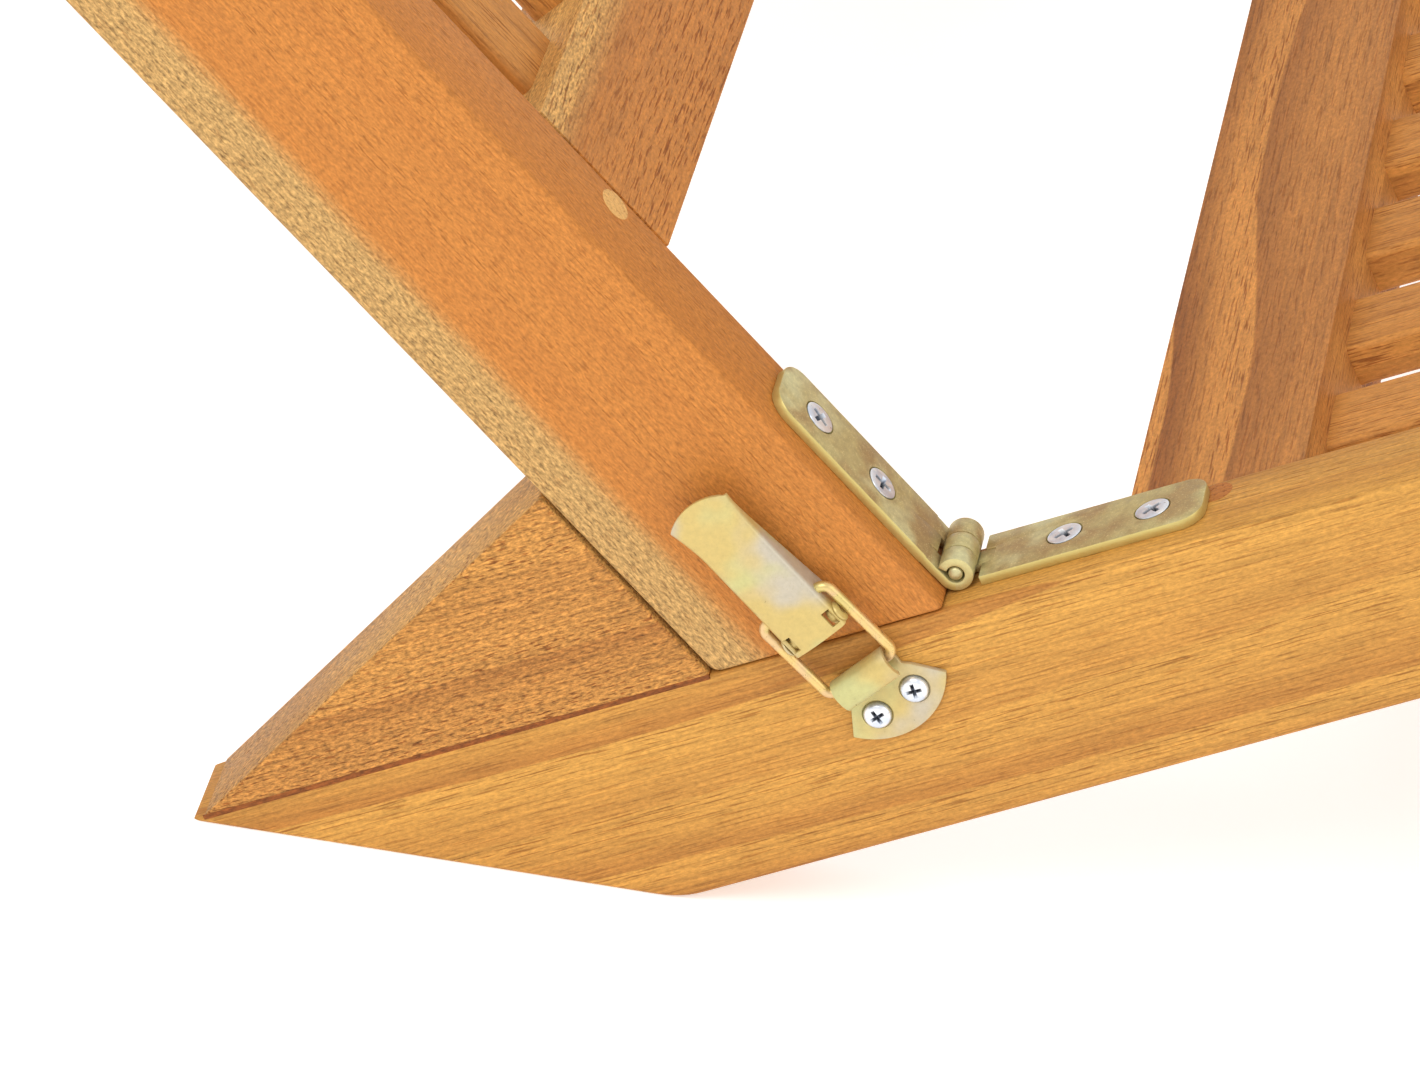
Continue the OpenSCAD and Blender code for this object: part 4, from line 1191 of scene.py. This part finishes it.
def latch_base():
    """The plate screwed to the stile, with an ear each side for the lever's rivet."""
    ear_sheet = 0.9
    ear_out = LEVER_WIDE / 2 - 1.95
    strap = 4.2                  # half the width of the plate above the ears
    flank = [(PIVOT_S + 3, ear_out), (PIVOT_S + 9, ear_out), (PIVOT_S + 12, strap), (PIVOT_S + 27, strap),
             (PIVOT_S + 28.5, strap - 1.5)]
    floor_plate = plate_from([(s, -z) for s, z in flank] + flank[::-1], SHEET)
    stand_on_edge(floor_plate)
    ease_edges(floor_plate, 0.2, 2)
    shapes = [floor_plate]
    for z in (-ear_out, ear_out - ear_sheet):
        # the hub reaches into the lever's slot, the foot below it stands clear of the open lever
        outline = [(0.05, PIVOT_S + 7), (0.05, PIVOT_S - 1.35), (3.5, PIVOT_S - 1.35)]
        outline += [(PIVOT_D + 1.45 * math.sin(math.radians(a)), PIVOT_S - 2.2 * math.cos(math.radians(a)))
                    for a in range(-15, 181, 15)]
        outline += [(PIVOT_D - 1.2, PIVOT_S + 4.2), (SHEET, PIVOT_S + 7)]
        ear = plate_from(outline, ear_sheet, z)
        ease_edges(ear, 0.2, 2, least=50)
        shapes.append(ear)
    whole = merged(*shapes)
    # below the rivet, under the lever, the base is painted dark as painted shade
    mark = whole.verts.layers.float.new("recess")
    for v in whole.verts:
        v[mark] = 0.0 if v.co.x > PIVOT_D or v.co.y > PIVOT_S + 6 else 0.9
    return whole


def make_wire_tree():
    """A bent wire: corners rounded, round section, closed ends."""
    tree, given, end = shape_tree("bent_wire", [
        ("Bend radius", FLOAT, 0.0022), ("Wire diameter", FLOAT, 0.0024), ("Sides", "NodeSocketInt", 20),
        ("Material", "NodeSocketMaterial", None)])
    t = tree
    line = put(t, "GeometryNodeMeshToCurve", {"Mesh": given["Geometry"]})
    bent = put(t, "GeometryNodeFilletCurve", {"Curve": line.outputs[0], "Radius": given["Bend radius"],
                                              "Count": 8, "Limit Radius": True}, mode="POLY")
    half = put(t, "ShaderNodeMath", {0: given["Wire diameter"], 1: 0.5}, operation="MULTIPLY")
    section = put(t, "GeometryNodeCurvePrimitiveCircle", {"Resolution": given["Sides"],
                                                          "Radius": half.outputs[0]})
    tube = put(t, "GeometryNodeCurveToMesh", {"Curve": bent.outputs[0], "Profile Curve": section.outputs[0],
                                              "Fill Caps": True})
    close_tree(t, tube.outputs[0], given["Material"], end)
    return tree


wire_tree = make_wire_tree()


def wire_start(name, points, place, side):
    """A chain of straight edges for the wire tree, in metres."""
    mesh = bpy.data.meshes.new(name)
    flip = -1 if side == "right" else 1
    spots = []
    for p in points:
        at = (place @ Vector(p)) * MM
        spots.append((at.x * flip, at.y, at.z))
    mesh.from_pydata(spots, [(i, i + 1) for i in range(len(spots) - 1)], [])
    return mesh


def catch_plate():
    """The fan-shaped plate with its tongue bent back over the bail."""
    fan, half_angle = 16.9, math.radians(52)
    rim = [(HOOK_S, -TONGUE_HALF), (HOOK_S, TONGUE_HALF), (HOOK_S - 3.0, TONGUE_HALF - 0.2),
           (HOOK_S - 4.4, TONGUE_HALF + 1.4)]
    for k in range(21):
        a = half_angle - 2 * half_angle * k / 20
        rim.append((HOOK_S - fan * math.cos(a), fan * math.sin(a)))
    rim += [(HOOK_S - 4.4, -TONGUE_HALF - 1.4), (HOOK_S - 3.0, -TONGUE_HALF + 0.2)]
    plate = plate_from(rim, SHEET)
    stand_on_edge(plate)
    ease_edges(plate, 0.25, 2, least=50)
    dents = []
    for z in (-1, 1):
        dent = turned([(0, 0.55), (3.1, 0.55), (3.42, 0.8), (3.5, 2.0), (0, 2.0)], 36)
        dent.transform(Matrix.Translation((0, CATCH_SCREWS_S, z * CATCH_SCREW_PITCH / 2))
                       @ Matrix.Rotation(math.radians(90), 4, "Y"))
        dents.append(dent)
    plate = carved(plate, *dents)
    mid = HOOK_R + SHEET / 2
    path = [(HOOK_S - 0.2, SHEET / 2)]
    for k in range(17):
        a = math.radians(-90 + 180 * k / 16)
        path.append((HOOK_S + mid * math.cos(a), BAR_D + mid * math.sin(a)))
    path += [(HOOK_S - 1.2, BAR_D + mid - 0.05), (HOOK_S - 2.4, BAR_D + mid - 0.45),
             (HOOK_S - 3.2, BAR_D + mid - 1.1)]
    tongue = strip_along(path, SHEET, -TONGUE_HALF, TONGUE_HALF)
    ease_edges(tongue, 0.3, 2, least=50)
    # strip_along draws in (x across, y along, z up): across is the latch's Z, up its X
    tongue.transform(Matrix(((0, 0, 1, 0), (0, 1, 0, 0), (1, 0, 0, 0), (0, 0, 0, 1))))
    bmesh.ops.reverse_faces(tongue, faces=tongue.faces[:])
    return merged(plate, tongue)


WIRE_BEND, WIRE_SIDES = 2.1, 20
EYE = LEVER_WIDE / 2 - 2.6                 # the bail's ends reach this near to the lever's middle
bail_loop = [(BAIL_D, BAIL_S, -EYE), (BAIL_D, BAIL_S, -BAIL_HALF), (BAR_D, BAR_S, -BAIL_HALF),
             (BAR_D, BAR_S, BAIL_HALF), (BAIL_D, BAIL_S, BAIL_HALF), (BAIL_D, BAIL_S, EYE)]
for side in SIDES:
    for name, shape, body, node, sharp in (
            (f"lever_{side}_pressing", lever_skin(), f"lever_{side}", f"latch_lever_{side}", 50),
            (f"latch_base_plate_{side}", latch_base(), "backrest", f"latch_base_{side}", 40),
            (f"hook_plate_{side}", catch_plate(), "seat_frame", f"catch_plate_{side}", 40)):
        put_in_place(shape, LATCH, side)
        finished(name, shape, latch_plating, body, [node], sharp=sharp)
    grown(f"bail_wire_{side}", wire_tree, {"Bend radius": WIRE_BEND * MM, "Wire diameter": WIRE * MM,
                                           "Sides": WIRE_SIDES, "Material": wire_plating},
          wire_start(f"loop_{side}", bail_loop, LATCH, side), wire_plating, f"bail_{side}",
          [f"latch_bail_{side}"], sharp=50)

rivets = []
for z in (-1, 1):
    rivets += both(LATCH, [(PIVOT_D, PIVOT_S, z * CHEEK_OUT)], (0, 0, z))
rivet = turned([(0, -2.4), (1.45, -2.4), (1.45, 0), (2.35, 0), (2.45, 0.18), (2.3, 0.5), (1.75, 0.78),
                (1.1, 0.86), (0.95, 0.7), (0.5, 0.62), (0, 0.6)], 28)
set_out("latch_rivet_set", model_of("rivet", rivet), rivets, latch_plating, "backrest", ["latch_rivets"],
        seed=9)

BASE_SCREWS_S = (30.0, 38.0)
base_head = model_of("base_screw", driven(
    turned([(0, -11), (1.4, -10), (1.4, -1.2), (2.6, -0.05), (2.5, 0.05), (0, 0.08)], 28),
    2.9, 0.8, 1.0, 0.08))
set_out("base_screw_set", base_head, both(LATCH, [(SHEET, s, 0) for s in BASE_SCREWS_S], (1, 0, 0)),
        screw_plating, "backrest", ["latch_base_screws"], seed=12)


# ---------------------------------------------------------------- leg bolts

LEG_THICK, WASHER, NUT_HIGH, BOLT_TAIL = 22.0, 1.5, 6.5, 1.5
LEAN_DROP, CROSSBAR_UP = 235.248, 60.0     # bolt to floor along the leg, and floor to crossbar

bolt_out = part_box("leg_bolts")[1].x / MM
bolt_len = bolt_out - (leg_inner - WASHER - NUT_HIGH - BOLT_TAIL)
bolt = turned([(0, -bolt_len), (3.4, -bolt_len), (4.0, -bolt_len + 0.7), (4.0, -4.0), (9.4, -4.0),
               (9.9, -3.6), (9.6, -2.6), (8.2, -1.3), (5.6, -0.4), (2.6, 0.0), (0, 0.0)], 40)
set_out("leg_bolt_set", model_of("bolt", bolt), both(LEGS, [(bolt_out, 0, 0)], (1, 0, 0)), screw_plating,
        "seat_frame", ["leg_bolts"], seed=4)
washer = turned([(4.05, 0.1), (4.05, 1.4), (4.2, WASHER), (9.3, WASHER), (9.6, 1.3), (9.6, 0.2), (9.3, 0.0),
                 (4.2, 0.0), (4.05, 0.1)], 40)
bmesh.ops.remove_doubles(washer, verts=washer.verts[:], dist=0.001)
face_outwards(washer)
set_out("leg_washer_set", model_of("washer", washer),
        both(LEGS, [(leg_inner + LEG_THICK, 0, 0), (leg_inner - WASHER, 0, 0)], (1, 0, 0)), screw_plating,
        "seat_frame", ["leg_washers"], seed=7)


def nut():
    """A hexagon nut with its bore."""
    corners = [math.radians(60 * k) for k in range(6)]
    body = plate_from([(7.0 * math.cos(a), 7.0 * math.sin(a)) for a in corners], NUT_HIGH)
    ease_edges(body, 0.35, 2)
    return carved(body, turned([(0, -1), (4.05, -1), (4.05, 8), (0, 8)], 32))


set_out("leg_nut_set", model_of("nut", nut()), both(LEGS, [(leg_inner - WASHER, 0, 0)], (-1, 0, 0)),
        screw_plating, "seat_frame", ["leg_nuts"], seed=15)

# the crossbar's dowels come in from the front face of each leg, close to its inner side
LEG_DOWEL_X, LEG_DOWEL_Y = leg_inner + 6.0, 18.0
LEG_DOWEL_Z = -(LEAN_DROP - CROSSBAR_UP / math.cos(LEG_LEAN))
leg_dowel = turned([(0, -28), (2.7, -28), (3.0, -27.6), (3.0, -0.35), (2.8, 0.05), (1.5, 0.16), (0, 0.2)], 28)
leg_dowels = set_out("leg_dowel_set", model_of("leg_dowel", leg_dowel),
                     both(LEGS, [(LEG_DOWEL_X, LEG_DOWEL_Y, LEG_DOWEL_Z)], (0, 1, 0)), dowel_pale,
                     "front_legs", ["leg_dowels"], seed=21)
dowel_grain(leg_dowels, LEGS)


# ---------------------------------------------------------------- floor, light, camera

def floor_material():
    """A pale studio floor with the faintest clouds."""
    made = bpy.data.materials.new("pale_floor")
    made.use_nodes = True
    t = made.node_tree
    shader = t.nodes["Principled BSDF"]
    place = put(t, "ShaderNodeTexCoord").outputs["Object"]
    cloud = noise_of(t, place, 1.5, 2.0, 0.5)
    tone = blend_of(t, step_of(t, cloud, 0.3, 0.7), (0.84, 0.84, 0.84, 1), (0.87, 0.87, 0.87, 1))
    t.links.new(tone, shader.inputs["Base Color"])
    shader.inputs["Roughness"].default_value = 0.8
    shader.inputs["Specular IOR Level"].default_value = 0.1
    shader.inputs["Emission Color"].default_value = (1.0, 1.0, 1.0, 1.0)
    shader.inputs["Emission Strength"].default_value = 0.45
    return made


floor_mesh = bpy.data.meshes.new("floor")
floor_mesh.from_pydata([(-8, -8, 0), (8, -8, 0), (8, 8, 0), (-8, 8, 0)], [], [(0, 1, 2, 3)])
floor_mesh.materials.append(floor_material())
shown("floor", floor_mesh)

world = bpy.data.worlds.new("studio")
bpy.context.scene.world = world
world.use_nodes = True
world.node_tree.nodes["Background"].inputs[0].default_value = (1.0, 1.0, 1.0, 1.0)
world.node_tree.nodes["Background"].inputs[1].default_value = 1.0


LIT_SPOT = Vector((-0.27, 0.0, 0.1))


def soft_light(name, at, size, power):
    """A round white softbox aimed at the near side of the chair."""
    lamp = bpy.data.lights.new(name, "AREA")
    lamp.shape, lamp.size, lamp.energy = "DISK", size, power
    holder = shown(name, lamp)
    holder.location = at
    holder.rotation_euler = (LIT_SPOT - Vector(at)).to_track_quat("-Z", "Y").to_euler()


soft_light("key", (-2.2, 0.9, 2.4), 1.6, 32.0)
soft_light("fill", (-1.6, -2.2, 1.6), 2.0, 12.0)

VIEW_TURN = math.radians(6.24)
VIEW_DOWN = math.radians(30.42)
VIEW_ROLL = math.radians(5.68)
VIEW_FAR = 1.9168
LENS, SENSOR = 230.37465, 36.0             # both in millimetres

aim = Vector((-half_width, corner.y + 51.3, corner.z + 10.1)) * MM
level = math.cos(VIEW_DOWN)
forward = Vector((level * math.cos(VIEW_TURN), level * math.sin(VIEW_TURN), -math.sin(VIEW_DOWN)))
level_right = forward.cross(Vector((0, 0, 1))).normalized()
level_up = level_right.cross(forward)
right = level_right * math.cos(VIEW_ROLL) + level_up * math.sin(VIEW_ROLL)
up = level_up * math.cos(VIEW_ROLL) - level_right * math.sin(VIEW_ROLL)
camera_data = bpy.data.cameras.new("camera")
camera_data.sensor_width = SENSOR
camera_data.lens = LENS
camera_data.clip_start, camera_data.clip_end = 0.05, 60.0
camera = shown("camera", camera_data)
spot = aim - forward * VIEW_FAR
camera.matrix_world = Matrix(((right.x, up.x, -forward.x, spot.x), (right.y, up.y, -forward.y, spot.y),
                              (right.z, up.z, -forward.z, spot.z), (0, 0, 0, 1)))
bpy.context.scene.camera = camera
bpy.context.scene.view_settings.view_transform = "Standard"

bpy.context.view_layer.update()
